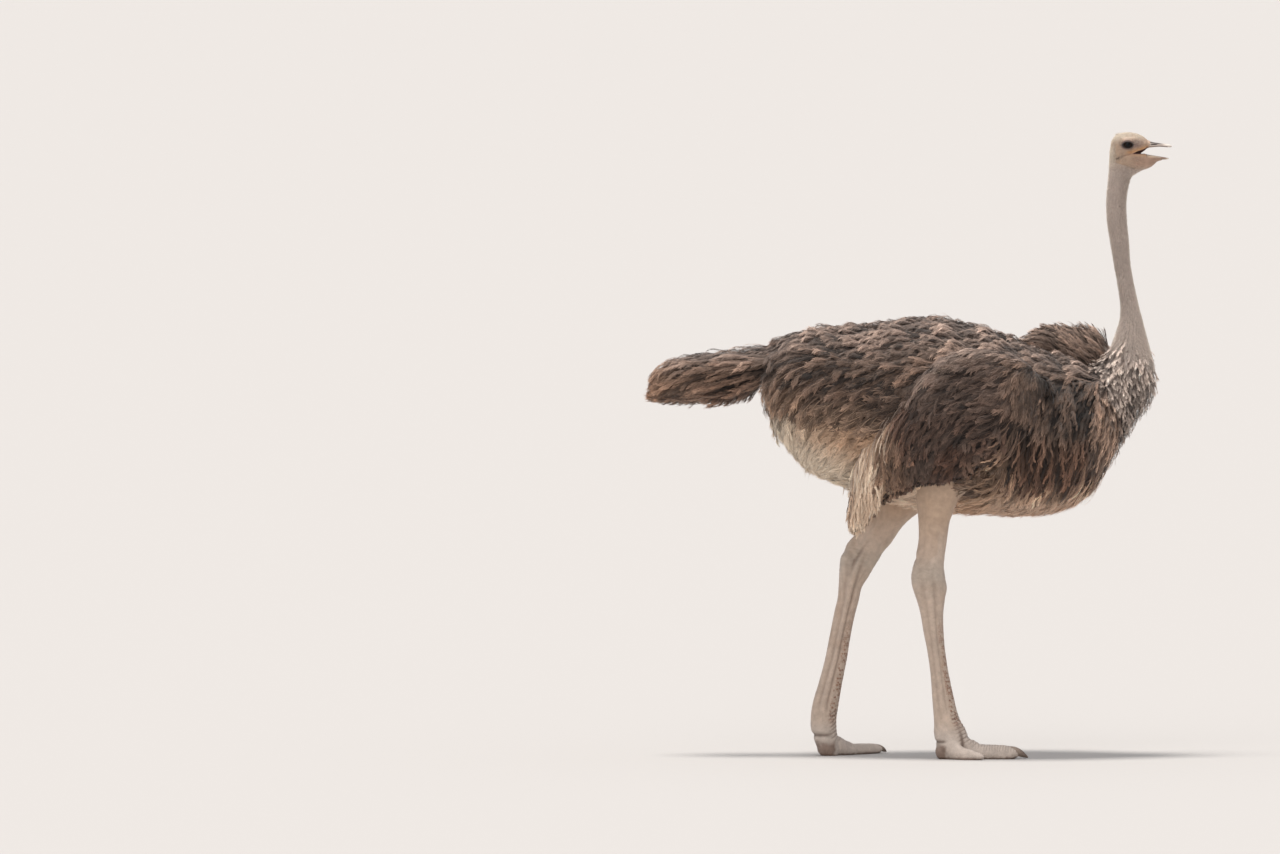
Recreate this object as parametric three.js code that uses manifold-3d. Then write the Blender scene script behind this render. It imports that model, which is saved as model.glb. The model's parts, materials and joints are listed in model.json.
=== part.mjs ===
// A hen of the common ostrich (Struthio camelus), life size, standing in mid stride with its bill a little open.
// Millimetres. +X is the way the bird faces, +Y its left side, +Z up. The floor is z = 0.
//
// The body is a row of rings. Each ring is named after the place it passes and is given by the point of
// the bird's upper or rear outline (a) and of its lower or front outline (b) that it joins, as [x, z] in the
// middle plane, by how far to the side it lies (y), its half width (w), and where that width is reached (k,
// from -1 at b to 1 at a). Plumage is included: these are the outer sizes, out to the tips of the feathers.

import * as THREE from "three";
import { mergeVertices } from "three/addons/utils/BufferGeometryUtils.js";
import Module from "manifold-3d";

const wasm = await Module();
wasm.setup();

// ---- main sizes ----
const GAP = 0.35; // parting gap between two neighbouring solids
const STANDING_HEIGHT = 1881; // floor to the tuft on the crown
const EYE_RADIUS = 19;
const EYE = { x: 651, y: 26.5, z: 1838.5 };
const LID_THICKNESS = 2.2;
const LID_OPENING = { halfLength: 15.5, halfHeight: 12.4 };
const NOSTRIL = { x: 727, y: 17.5, z: 1840.5, length: 21, height: 3.6, depth: 9 };
const SIMPLE = 0.12; // slivers thinner than this are merged away
const HIP_RIGHT_Y = -104; // track of the right leg, which is the one put forward
const HIP_LEFT_Y = 96;
const FOOT_RIGHT = { x: 110, turn: -4 }; // degrees, positive turns the toes to the bird's left
const FOOT_LEFT = { x: -243, turn: 46 };
const GAPE_CORNER = { x: 664, z: 1812 };
const SHAG = 7; // how far locks of plumage rise over the mean surface

const BODY = [
  { at: "rump_end", a: [-441, 1166], b: [-437, 1084], y: 0, w: 44, k: 0 },
  { at: "rump", a: [-426, 1232], b: [-423, 1036], y: 0, w: 96, k: 0 },
  { at: "croup", a: [-372, 1264], b: [-399, 974], y: 0, w: 134, k: 0.05 },
  { at: "vent", a: [-306, 1288], b: [-354, 904], y: 0, w: 160, k: 0.08 },
  { at: "loin_rear", a: [-222, 1298], b: [-276, 844], y: 0, w: 186, k: 0.1 },
  { at: "loin", a: [-126, 1300], b: [-180, 802], y: 0, w: 208, k: 0.1 },
  { at: "back_rear", a: [-30, 1316], b: [-78, 770], y: 0, w: 226, k: 0.1 },
  { at: "back", a: [60, 1322], b: [24, 740], y: 0, w: 238, k: 0.1 },
  { at: "back_front", a: [150, 1310], b: [129, 728], y: 0, w: 244, k: 0.1 },
  { at: "side", a: [240, 1288], b: [246, 728], y: 0, w: 244, k: 0.08 },
  { at: "shoulder", a: [315, 1256], b: [351, 724], y: 0, w: 237, k: 0.05 },
  { at: "keel", a: [390, 1228], b: [444, 736], y: 0, w: 222, k: 0 },
  { at: "breast_low", a: [456, 1208], b: [516, 766], y: 0, w: 198, k: 0 },
  { at: "breast", a: [507, 1190], b: [570, 820], y: 0, w: 171, k: 0 },
  { at: "breast_high", a: [537, 1181], b: [606, 886], y: 0, w: 146, k: 0 },
  { at: "crop", a: [558, 1182], b: [639, 950], y: 0, w: 124, k: 0 },
  { at: "neck_root", a: [573, 1190], b: [681, 1016], y: 0, w: 103, k: 0 },
  { at: "neck_cone", a: [585, 1204], b: [723, 1078], y: 0, w: 86, k: 0 },
  { at: "neck_bulge", a: [594, 1222], b: [738, 1150], y: 0, w: 71, k: 0 },
  { at: "neck_low", a: [606, 1252], b: [726, 1214], y: 0, w: 59, k: 0 },
  { at: "neck_taper", a: [618, 1286], b: [711, 1268], y: 0, w: 49, k: 0 },
  { at: "neck_ring", a: [627, 1318], b: [700, 1310], y: 0, w: 42, k: 0 },
  { at: "neck_third", a: [628, 1360], b: [688, 1356], y: 0, w: 36, k: 0 },
  { at: "neck_fourth", a: [621, 1412], b: [676, 1408], y: 0, w: 33, k: 0 },
  { at: "neck_middle", a: [609, 1480], b: [663, 1479], y: 0, w: 31.5, k: 0 },
  { at: "neck_sixth", a: [597, 1550], b: [658, 1550], y: 0, w: 31.5, k: 0 },
  { at: "neck_high", a: [588, 1612], b: [652, 1612], y: 0, w: 32, k: 0 },
  { at: "neck_eighth", a: [586, 1672], b: [651, 1676], y: 0, w: 32, k: 0 },
  { at: "neck_top", a: [591, 1730], b: [663, 1734], y: 0, w: 33.5, k: 0 },
  { at: "nape", a: [594, 1766], b: [681, 1752], y: 0, w: 36, k: 0 },
  { at: "jaw_angle", a: [597, 1798], b: [699, 1760], y: 0, w: 38.5, k: 0.1 },
  { at: "ear", a: [599, 1826], b: [714, 1765], y: 0, w: 40.5, k: 0.25 },
  { at: "occiput", a: [605, 1850], b: [726, 1771], y: 0, w: 41.5, k: 0.35 },
  { at: "crown_rear", a: [622, 1868], b: [735, 1779], y: 0, w: 41.5, k: 0.4 },
  { at: "crown", a: [648, 1874], b: [742, 1786], y: 0, w: 40, k: 0.4 },
  { at: "forehead", a: [675, 1871], b: [748, 1789], y: 0, w: 36, k: 0.35 },
  { at: "brow_front", a: [696, 1862], b: [753, 1791], y: 0, w: 30.5, k: 0.2 },
  { at: "bill_root", a: [713, 1851], b: [757, 1792], y: 0, w: 25.5, k: 0.1 },
];

// Ruffled feathers of the far shoulder, which stand up between the back and the neck.
const SHOULDER_RUFF = [
  { at: "rear_tip", a: [346, 1254], b: [352, 1216], y: 58, w: 16, k: 0 },
  { at: "rear", a: [378, 1280], b: [380, 1150], y: 62, w: 42, k: 0 },
  { at: "crest", a: [420, 1301], b: [424, 1110], y: 66, w: 54, k: 0 },
  { at: "middle", a: [464, 1300], b: [470, 1100], y: 66, w: 58, k: 0 },
  { at: "front_rise", a: [514, 1292], b: [516, 1096], y: 62, w: 56, k: 0 },
  { at: "front", a: [562, 1281], b: [560, 1100], y: 54, w: 48, k: 0 },
  { at: "front_tip", a: [603, 1252], b: [590, 1170], y: 44, w: 26, k: 0 },
];

const TAIL = [
  { at: "root", a: [-330, 1262], b: [-330, 1110], y: 0, w: 74, k: 0 },
  { at: "stem", a: [-412, 1240], b: [-426, 1104], y: 0, w: 82, k: 0 },
  { at: "stem_end", a: [-468, 1232], b: [-480, 1084], y: 0, w: 88, k: 0 },
  { at: "broad", a: [-540, 1224], b: [-545, 1064], y: 0, w: 92, k: 0 },
  { at: "middle", a: [-615, 1216], b: [-615, 1060], y: 0, w: 92, k: 0 },
  { at: "droop", a: [-684, 1204], b: [-682, 1060], y: 0, w: 84, k: 0 },
  { at: "end", a: [-736, 1184], b: [-734, 1064], y: 0, w: 68, k: 0 },
  { at: "tip", a: [-768, 1154], b: [-766, 1078], y: 0, w: 44, k: 0 },
  { at: "last", a: [-781, 1128], b: [-780, 1100], y: 0, w: 18, k: 0 },
];

// One wing, given for the left side and mirrored for the right: it hangs folded from the shoulder, and its
// long loose quills droop behind the leg.
const WING = [
  { at: "wrist", a: [402, 1150], b: [392, 1094], y: 214, w: 20, k: 0 },
  { at: "shoulder", a: [352, 1192], b: [366, 1018], y: 222, w: 36, k: 0 },
  { at: "fore_edge", a: [282, 1222], b: [312, 938], y: 226, w: 46, k: 0 },
  { at: "upper_arm", a: [204, 1230], b: [232, 880], y: 226, w: 50, k: 0 },
  { at: "arm", a: [120, 1212], b: [156, 842], y: 222, w: 52, k: 0 },
  { at: "elbow", a: [44, 1166], b: [88, 828], y: 214, w: 52, k: 0 },
  { at: "coverts", a: [-30, 1080], b: [30, 820], y: 204, w: 50, k: 0 },
  { at: "quills", a: [-96, 1008], b: [-20, 800], y: 190, w: 44, k: 0 },
  { at: "quill_bend", a: [-146, 948], b: [-60, 778], y: 176, w: 37, k: 0 },
  { at: "quill_hang", a: [-176, 876], b: [-92, 752], y: 168, w: 30, k: 0 },
  { at: "quill_ends", a: [-181, 800], b: [-118, 718], y: 164, w: 24, k: 0 },
  { at: "tips", a: [-182, 728], b: [-142, 694], y: 162, w: 15, k: 0 },
  { at: "last_tip", a: [-178, 694], b: [-158, 684], y: 162, w: 6, k: 0 },
];

// Legs: a is the rear outline and b the front outline. The thigh is inside the plumage.
const LEG_RIGHT = [
  { at: "drumstick_root", a: [-30, 976], b: [238, 958], y: -112, w: 84, k: 0 },
  { at: "drumstick_top", a: [-8, 900], b: [204, 890], y: -114, w: 84, k: 0 },
  { at: "drumstick", a: [6, 832], b: [164, 832], y: -112, w: 74, k: 0 },
  { at: "calf", a: [18, 773], b: [142, 773], y: -109, w: 60, k: 0 },
  { at: "shank", a: [25, 713], b: [118, 713], y: -107, w: 48, k: 0 },
  { at: "shank_low", a: [25, 652], b: [108, 652], y: -107, w: 41.5, k: 0 },
  { at: "hock_top", a: [13, 592], b: [101, 592], y: -106, w: 40, k: 0 },
  { at: "hock", a: [5, 556], b: [103, 556], y: -105, w: 43, k: 0 },
  { at: "hock_low", a: [6, 517], b: [108, 517], y: -104, w: 43, k: 0 },
  { at: "hock_end", a: [20, 472], b: [102, 472], y: -104, w: 36, k: 0 },
  { at: "tarsus_top", a: [30, 434], b: [98, 434], y: -104, w: 30, k: 0 },
  { at: "tarsus_upper", a: [39, 381], b: [99, 381], y: -104, w: 26, k: 0 },
  { at: "tarsus", a: [51, 320], b: [104, 320], y: -104, w: 24.5, k: 0 },
  { at: "tarsus_low", a: [60, 254], b: [114, 257], y: -104, w: 25, k: 0 },
  { at: "tarsus_end", a: [66, 171], b: [131, 177], y: -104, w: 28, k: 0 },
  { at: "foot_neck", a: [70, 118], b: [146, 124], y: -104, w: 31, k: 0 },
  { at: "foot_joint", a: [72, 76], b: [168, 84], y: -104, w: 34, k: 0 },
  { at: "pad_top", a: [76, 46], b: [176, 52], y: -104, w: 35, k: 0 },
  { at: "pad", a: [86, 20], b: [178, 24], y: -104, w: 32, k: 0 },
  { at: "sole", a: [104, -6], b: [170, -6], y: -104, w: 25, k: 0 },
];

const LEG_LEFT = [
  { at: "drumstick_root", a: [16, 974], b: [196, 872], y: 90, w: 74, k: 0 },
  { at: "drumstick_top", a: [-20, 900], b: [130, 812], y: 93, w: 76, k: 0 },
  { at: "drumstick", a: [-50, 836], b: [75, 768], y: 95, w: 70, k: 0 },
  { at: "calf", a: [-84, 768], b: [24, 728], y: 96, w: 58, k: 0 },
  { at: "shank", a: [-116, 714], b: [-20, 690], y: 97, w: 48, k: 0 },
  { at: "shank_low", a: [-152, 672], b: [-53, 643], y: 97, w: 42, k: 0 },
  { at: "hock_top", a: [-182, 640], b: [-79, 609], y: 97, w: 40.5, k: 0 },
  { at: "hock", a: [-203, 600], b: [-98, 578], y: 97, w: 43, k: 0 },
  { at: "hock_low", a: [-211, 554], b: [-119, 545], y: 96, w: 43, k: 0 },
  { at: "hock_end", a: [-213, 508], b: [-143, 505], y: 96, w: 37, k: 0 },
  { at: "tarsus_top", a: [-216, 472], b: [-152, 467], y: 96, w: 31, k: 0 },
  { at: "tarsus_upper", a: [-225, 434], b: [-164, 422], y: 96, w: 27, k: 0 },
  { at: "tarsus", a: [-238, 368], b: [-177, 359], y: 96, w: 25, k: 0 },
  { at: "tarsus_low", a: [-254, 288], b: [-189, 285], y: 96, w: 25.5, k: 0 },
  { at: "tarsus_end", a: [-273, 217], b: [-203, 214], y: 96, w: 28, k: 0 },
  { at: "foot_neck", a: [-290, 160], b: [-212, 158], y: 96, w: 31, k: 0 },
  { at: "foot_joint", a: [-297, 108], b: [-219, 108], y: 96, w: 34, k: 0 },
  { at: "pad_top", a: [-291, 62], b: [-217, 64], y: 96, w: 35, k: 0 },
  { at: "pad", a: [-279, 30], b: [-213, 30], y: 96, w: 32, k: 0 },
  { at: "sole", a: [-262, -6], b: [-214, -6], y: 96, w: 25, k: 0 },
];

// Toes, in the foot's own frame: x forward from the foot joint, y outward, on the floor z = 0. a is the top
// and b the bottom of the toe. The large inner toe bears the claw.
const TOE_INNER = [
  { at: "heel", a: [8, 60], b: [8, 8], y: 0, w: 26, k: 0 },
  { at: "knuckle", a: [34, 62], b: [30, -4], y: -2, w: 31, k: -0.2 },
  { at: "first_pad", a: [66, 54], b: [64, -6], y: -5, w: 30, k: -0.25 },
  { at: "second", a: [104, 49], b: [104, -5], y: -8, w: 27, k: -0.25 },
  { at: "third", a: [144, 47], b: [144, -5], y: -10, w: 25, k: -0.25 },
  { at: "ball", a: [176, 45], b: [178, -4], y: -11, w: 24, k: -0.25 },
  { at: "tip", a: [200, 38], b: [202, 2], y: -12, w: 20, k: -0.1 },
  { at: "end", a: [213, 26], b: [213, 9], y: -12, w: 11, k: 0 },
];
const TOE_OUTER = [
  { at: "root", a: [2, 52], b: [2, 8], y: 12, w: 22, k: 0 },
  { at: "knuckle", a: [24, 52], b: [22, -3], y: 26, w: 20, k: -0.1 },
  { at: "pad", a: [52, 38], b: [50, -5], y: 42, w: 19, k: -0.2 },
  { at: "ball", a: [80, 31], b: [80, -4], y: 52, w: 17.5, k: -0.2 },
  { at: "tip", a: [102, 22], b: [103, 1], y: 58, w: 13.5, k: 0 },
  { at: "end", a: [113, 15], b: [113, 6], y: 61, w: 6, k: 0 },
];
const CLAW = [
  { at: "bed", a: [190, 43], b: [196, 14], y: -12, w: 15.5, k: 0.2 },
  { at: "plate", a: [208, 39], b: [210, 10], y: -12, w: 14, k: 0.2 },
  { at: "curve", a: [224, 29], b: [223, 6], y: -12, w: 10.5, k: 0.2 },
  { at: "point", a: [236, 16], b: [234, 4], y: -12, w: 6, k: 0 },
  { at: "end", a: [242, 7], b: [241, 3], y: -12, w: 2.2, k: 0 },
];

// The bill: broad and flat, with a rounded nail at the end of each half.
const BILL_UPPER = [
  { at: "root", a: [711.2, 1852], b: [705, 1827.6], y: 0, w: 27.5, k: -0.4 },
  { at: "base", a: [724, 1847.2], b: [720, 1829.4], y: 0, w: 25.5, k: -0.5 },
  { at: "nostril", a: [738, 1844.5], b: [736, 1831.2], y: 0, w: 22.5, k: -0.5 },
  { at: "middle", a: [752, 1842.8], b: [751, 1831.8], y: 0, w: 19.5, k: -0.4 },
  { at: "nail", a: [766, 1841.4], b: [766, 1831.2], y: 0, w: 16.5, k: -0.3 },
  { at: "nail_end", a: [777, 1839.2], b: [777, 1830.6], y: 0, w: 12.5, k: 0 },
  { at: "tip", a: [784, 1835.6], b: [784, 1831], y: 0, w: 6.5, k: 0 },
];
const BILL_LOWER = [
  { at: "root", a: [707, 1811], b: [709.3, 1793.7], y: 0, w: 26, k: 0.4 },
  { at: "base", a: [724, 1808], b: [726, 1793.7], y: 0, w: 24, k: 0.4 },
  { at: "middle", a: [742, 1804.6], b: [743, 1793.7], y: 0, w: 20.5, k: 0.4 },
  { at: "fore", a: [757, 1801.6], b: [757, 1793.7], y: 0, w: 17, k: 0.3 },
  { at: "nail", a: [768, 1800], b: [768, 1793.9], y: 0, w: 13, k: 0.2 },
  { at: "tip", a: [775, 1798.4], b: [775, 1795.4], y: 0, w: 6.5, k: 0 },
];

// ---- rings to solids ----
const catmull = (p0, p1, p2, p3, t) =>
  0.5 * (2 * p1 + (p2 - p0) * t + (2 * p0 - 5 * p1 + 4 * p2 - p3) * t * t + (3 * p1 - p0 - 3 * p2 + p3) * t * t * t);

// The ring at s along a row, where s counts rings from 0 and takes fractions.
function ringAt(row, s) {
  const n = row.length - 1;
  const i = Math.min(Math.max(Math.floor(s), 0), n - 1);
  const t = s - i;
  const pick = (get) => {
    const p1 = get(row[i]);
    const p2 = get(row[i + 1]);
    const p0 = i > 0 ? get(row[i - 1]) : 2 * p1 - p2;
    const p3 = i + 2 <= n ? get(row[i + 2]) : 2 * p2 - p1;
    return catmull(p0, p1, p2, p3, t);
  };
  return {
    ax: pick((r) => r.a[0]), az: pick((r) => r.a[1]),
    bx: pick((r) => r.b[0]), bz: pick((r) => r.b[1]),
    y: pick((r) => r.y), w: pick((r) => r.w), k: pick((r) => r.k),
  };
}

const indexOf = (row, name) => row.findIndex((r) => r.at === name);

// A closed body from ring s0 to ring s1. grow widens it all round; shag lifts alternate locks of plumage.
function loft(row, { from = 0, to = row.length - 1, steps = 2, sides = 20, grow = 0, shag = () => 0 } = {}) {
  const count = Math.max(2, Math.round((to - from) * steps));
  const points = [];
  for (let i = 0; i <= count; i++) {
    const s = from + ((to - from) * i) / count;
    const r = ringAt(row, s);
    const cx = (r.ax + r.bx) / 2, cz = (r.az + r.bz) / 2;
    const half = Math.hypot(r.ax - r.bx, r.az - r.bz) / 2;
    const ux = (r.ax - r.bx) / (2 * half), uz = (r.az - r.bz) / (2 * half);
    for (let j = 0; j < sides; j++) {
      const phi = (2 * Math.PI * j) / sides;
      const lift = grow + shag(s, j, sides);
      const h = half + lift, w = r.w + lift;
      const v = Math.sin(phi) > 0 ? r.k + (1 - r.k) * Math.sin(phi) : r.k + (1 + r.k) * Math.sin(phi);
      points.push([cx + ux * v * h, r.y + Math.cos(phi) * w, cz + uz * v * h]);
    }
  }
  const position = points.flat();
  const centre = (i) => {
    const ring = points.slice(i * sides, (i + 1) * sides);
    return [0, 1, 2].map((k) => ring.reduce((sum, p) => sum + p[k], 0) / sides);
  };
  const first = points.length, last = first + 1;
  position.push(...centre(0), ...centre(count));
  const index = [];
  for (let i = 0; i < count; i++) {
    for (let j = 0; j < sides; j++) {
      const a = i * sides + j, b = i * sides + ((j + 1) % sides);
      const c = a + sides, d = b + sides;
      index.push(a, c, b, b, c, d);
    }
  }
  for (let j = 0; j < sides; j++) {
    index.push(first, j, (j + 1) % sides);
    index.push(last, count * sides + ((j + 1) % sides), count * sides + j);
  }
  const g = new THREE.BufferGeometry();
  g.setAttribute("position", new THREE.Float32BufferAttribute(position, 3));
  g.setIndex(index);
  return g;
}

function solid(geometry) {
  const g = geometry.clone();
  g.deleteAttribute("normal");
  g.deleteAttribute("uv");
  const m = mergeVertices(g, 1e-3);
  const s = new wasm.Manifold(new wasm.Mesh({ numProp: 3, vertProperties: new Float32Array(m.attributes.position.array), triVerts: new Uint32Array(m.index.array) }));
  if (s.volume() >= 0) return s;
  const t = new Uint32Array(m.index.array);
  for (let i = 0; i < t.length; i += 3) [t[i + 1], t[i + 2]] = [t[i + 2], t[i + 1]];
  return new wasm.Manifold(new wasm.Mesh({ numProp: 3, vertProperties: new Float32Array(m.attributes.position.array), triVerts: t }));
}

function geometryOf(s) {
  const m = s.getMesh();
  const v = new Float32Array(m.numVert * 3);
  for (let i = 0; i < m.numVert; i++) v.set(m.vertProperties.subarray(i * m.numProp, i * m.numProp + 3), i * 3);
  const g = new THREE.BufferGeometry();
  g.setAttribute("position", new THREE.BufferAttribute(v, 3));
  g.setIndex(new THREE.BufferAttribute(new Uint32Array(m.triVerts), 1));
  g.computeVertexNormals();
  return g;
}

// The largest piece of a solid, for the crumbs that a cut may leave.
const largest = (s) => s.decompose().reduce((best, p) => (p.volume() > best.volume() ? p : best)).simplify(SIMPLE);

const box = (x0, x1, y0, y1, z0, z1) =>
  solid(new THREE.BoxGeometry(x1 - x0, y1 - y0, z1 - z0).translate((x0 + x1) / 2, (y0 + y1) / 2, (z0 + z1) / 2));

// A wedge of the side view, as [x, z] corners, run across the bird.
function across(corners, halfWidth) {
  const shape = new THREE.Shape(corners.map(([x, z]) => new THREE.Vector2(x, z)));
  const g = new THREE.ExtrudeGeometry(shape, { depth: 2 * halfWidth, bevelEnabled: false, steps: 1 });
  g.translate(0, 0, -halfWidth).rotateX(Math.PI / 2); // shape y becomes z, depth becomes -y
  return solid(g);
}

// Locks of plumage: a sawtooth along the body, staggered from one side step to the next, that fades at the ends.
const locks = (fadeIn, fadeOut, amount, pitch) => (s, j) => {
  const fade = Math.min(1, Math.max(0, s - fadeIn)) * Math.min(1, Math.max(0, fadeOut - s));
  const phase = (s * pitch + (j % 2) * 0.5) % 1;
  return amount * fade * (phase < 0.5 ? -0.5 : 0.5);
};

// ---- trunk, neck and head: one row of rings, parted with thin cuts ----
const NECK_CUT = indexOf(BODY, "neck_root") - 0.35;
const NECK_CUT_2 = indexOf(BODY, "neck_third") + 0.5;
const NECK_CUT_3 = indexOf(BODY, "neck_high") + 0.4;
const HEAD_CUT = indexOf(BODY, "nape") + 0.1;
const trunkShag = locks(1, NECK_CUT - 1.5, SHAG, 1);
const trunkRow = (grow) => solid(loft(BODY, { from: 0, to: NECK_CUT - 0.009, steps: 2, sides: 24, grow, shag: trunkShag }));
const ruff = (grow) => solid(loft(SHOULDER_RUFF, { steps: 2, sides: 14, grow, shag: locks(0, 6, 6, 1) }));
const neckBase = solid(loft(BODY, { from: NECK_CUT + 0.009, to: NECK_CUT_2 - 0.004, steps: 1.8, sides: 18 }));
const neckBaseGrown = solid(loft(BODY, { from: NECK_CUT + 0.0, to: NECK_CUT_2 - 0.004, steps: 1.8, sides: 18, grow: GAP }));
const trunk = largest(trunkRow(0).add(ruff(0)).subtract(neckBaseGrown));
// What cuts the neighbours: a smooth trunk that just clears the locks, and is also longer at the rear end.
const trunkClear = solid(loft(BODY, { from: 0, to: NECK_CUT - 0.009, steps: 2, sides: 24, grow: SHAG / 2 + 2 * GAP }));
const trunkGrown = trunkClear.add(trunkClear.translate(-2 * GAP, 0, 0)).add(ruff(1.5 * GAP));

const neckMiddle = solid(loft(BODY, { from: NECK_CUT_2 + 0.004, to: NECK_CUT_3 - 0.004, steps: 2, sides: 20 }));
const neckUpper = solid(loft(BODY, { from: NECK_CUT_3 + 0.004, to: HEAD_CUT - 0.012, steps: 2, sides: 20 }));

// ---- bill, eyes, head ----
// The gape, and the room in front of the head where the bill's two halves are rooted.
const mouth = across(
  [[GAPE_CORNER.x, GAPE_CORNER.z], [704, 1827.2], [712, 1859], [800, 1859], [800, 1793], [708.6, 1793], [706.2, 1811]],
  80,
);
const eyeBall = (side, r) => solid(new THREE.SphereGeometry(r, 14, 9).rotateX(Math.PI / 2).translate(EYE.x, side * EYE.y, EYE.z));
const lidOpening = (side) =>
  solid(new THREE.CylinderGeometry(1, 1, 60, 16).scale(LID_OPENING.halfLength, 1, LID_OPENING.halfHeight).translate(EYE.x, side * (EYE.y + 32), EYE.z));
const nostril = (side) =>
  solid(new THREE.CylinderGeometry(1, 1, NOSTRIL.depth, 8).scale(NOSTRIL.length / 2, 1, NOSTRIL.height / 2)
    .rotateX(side * 0.5).translate(NOSTRIL.x, side * (NOSTRIL.y + NOSTRIL.depth / 2), NOSTRIL.z));
const crownTuft = solid(loft([
  { at: "root", a: [640, 1868], b: [622, 1850], y: 0, w: 20, k: 0 },
  { at: "middle", a: [634, 1876], b: [622, 1864], y: 0, w: 12, k: 0 },
  { at: "tip", a: [630, STANDING_HEIGHT], b: [626, STANDING_HEIGHT - 3], y: 0, w: 3, k: 0 },
], { steps: 2, sides: 10 }));
let head = solid(loft(BODY, { from: HEAD_CUT + 0.012, to: BODY.length - 1, steps: 1.5, sides: 18 })).add(crownTuft).subtract(mouth);
for (const side of [1, -1]) {
  head = head.add(eyeBall(side, EYE_RADIUS + LID_THICKNESS)).subtract(lidOpening(side)).subtract(eyeBall(side, EYE_RADIUS + GAP));
}
head = largest(head);
const billUpper = solid(loft(BILL_UPPER, { steps: 1.5, sides: 14 })).subtract(nostril(1)).subtract(nostril(-1));
const billLower = solid(loft(BILL_LOWER, { steps: 1.5, sides: 14 }));
const eyeLeft = eyeBall(1, EYE_RADIUS);
const eyeRight = eyeBall(-1, EYE_RADIUS);

// ---- tail and wings, cut clear of the trunk ----
const tail = largest(solid(loft(TAIL, { steps: 2, sides: 14, shag: locks(1, 8, SHAG, 1) })).subtract(trunkGrown));
const mirrored = (row) => row.map((r) => ({ ...r, y: -r.y }));
const wing = (row) => largest(solid(loft(row, { steps: 2, sides: 12, shag: locks(1, 11, SHAG, 1) })).subtract(trunkGrown).subtract(legsGrown));

// ---- legs ----
const under = box(-1200, 1200, -600, 600, -200, 0);
// A toe's frame set on the floor under its foot joint; side is 1 for the left foot and -1 for the right.
function placed(row, foot, track, side, options) {
  const g = loft(row, options);
  if (side < 0) g.scale(1, -1, 1);
  return solid(g.rotateZ((foot.turn * Math.PI) / 180).translate(foot.x, track, 0));
}
const HOCK = { right: indexOf(LEG_RIGHT, "hock_low"), left: indexOf(LEG_LEFT, "hock_low") };
const SHIN_END = { right: indexOf(LEG_RIGHT, "foot_neck") + 0.5, left: indexOf(LEG_LEFT, "foot_neck") + 0.5 };
function leg(row, hock, shinEnd, foot, track, side) {
  const upper = solid(loft(row, { from: 0, to: hock - 0.004, steps: 1.2, sides: 14 }));
  const shin = solid(loft(row, { from: hock + 0.004, to: shinEnd - 0.004, steps: 1.2, sides: 14 }));
  const metatarsus = solid(loft(row, { from: shinEnd + 0.004, to: row.length - 1, steps: 1.2, sides: 14 }));
  const claw = placed(CLAW, foot, track, side, { steps: 2, sides: 10 });
  const clawGrown = placed(CLAW, foot, track, side, { steps: 2, sides: 10, grow: GAP });
  const outer = placed(TOE_OUTER, foot, track, side, { steps: 1.2, sides: 10 });
  const outerGrown = placed(TOE_OUTER, foot, track, side, { steps: 1.2, sides: 10, grow: GAP });
  const inner = placed(TOE_INNER, foot, track, side, { steps: 1.2, sides: 12 });
  const innerGrown = placed(TOE_INNER, foot, track, side, { steps: 1.2, sides: 12, grow: GAP });
  const heel = metatarsus.subtract(under);
  const heelGrown = solid(loft(row, { from: shinEnd + 0.004, to: row.length - 1, steps: 1.2, sides: 14, grow: GAP }));
  return {
    upper, shin,
    foot: largest(heel),
    inner: largest(inner.subtract(heelGrown).subtract(clawGrown).subtract(under)),
    outer: largest(outer.subtract(heelGrown).subtract(innerGrown).subtract(under)),
    claw: largest(claw.subtract(under)),
    upperGrown: solid(loft(row, { from: 0, to: hock - 0.004, steps: 1.2, sides: 14, grow: GAP })),
  };
}
const right = leg(LEG_RIGHT, HOCK.right, SHIN_END.right, FOOT_RIGHT, HIP_RIGHT_Y, -1);
const left = leg(LEG_LEFT, HOCK.left, SHIN_END.left, FOOT_LEFT, HIP_LEFT_Y, 1);
const legsGrown = right.upperGrown.add(left.upperGrown);
const cutLeg = (l) => largest(l.upper.subtract(trunkGrown));
const wingLeft = wing(WING);
const wingRight = wing(mirrored(WING));

// ---- materials and nodes ----
const skin = (color, roughness = 0.75) => new THREE.MeshStandardMaterial({ color, roughness, metalness: 0 });
const plumage = skin(0x5b4a40, 0.9);
const paleNeck = skin(0xa39488, 0.85);
const legSkin = skin(0xa08c7c, 0.7);
const horn = skin(0xb0a092, 0.5);
const clawHorn = skin(0x5a4e44, 0.5);
const eyeDark = skin(0x1c1210, 0.08);

const bird = new THREE.Group();
bird.name = "ostrich";
function add(name, s, material) {
  const mesh = new THREE.Mesh(geometryOf(s), material.clone());
  mesh.name = name;
  bird.add(mesh);
  return mesh;
}

add("trunk", trunk, plumage);
add("neck_base", neckBase, paleNeck);
add("neck_middle", neckMiddle, paleNeck);
add("neck_upper", neckUpper, paleNeck);
add("head", head, paleNeck);
add("bill_upper", largest(billUpper), horn);
add("bill_lower", largest(billLower), horn);
add("eye_left", eyeLeft, eyeDark);
add("eye_right", eyeRight, eyeDark);
add("tail", tail, plumage);
add("wing_left", wingLeft, plumage);
add("wing_right", wingRight, plumage);
for (const [name, l] of [["left", left], ["right", right]]) {
  add("leg_upper_" + name, cutLeg(l), legSkin);
  add("leg_lower_" + name, l.shin, legSkin);
  add("foot_" + name, l.foot, legSkin);
  add("toe_inner_" + name, l.inner, legSkin);
  add("toe_outer_" + name, l.outer, legSkin);
  add("claw_" + name, l.claw, clawHorn);
}

// The frame's origin is on the floor under the middle of the bird's length and width.
const extent = new THREE.Box3().setFromObject(bird);
const shift = new THREE.Vector3(-(extent.min.x + extent.max.x) / 2, -(extent.min.y + extent.max.y) / 2, 0);
bird.children.forEach((mesh) => mesh.position.copy(shift));

export default bird;
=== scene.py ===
import json
import math

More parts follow.
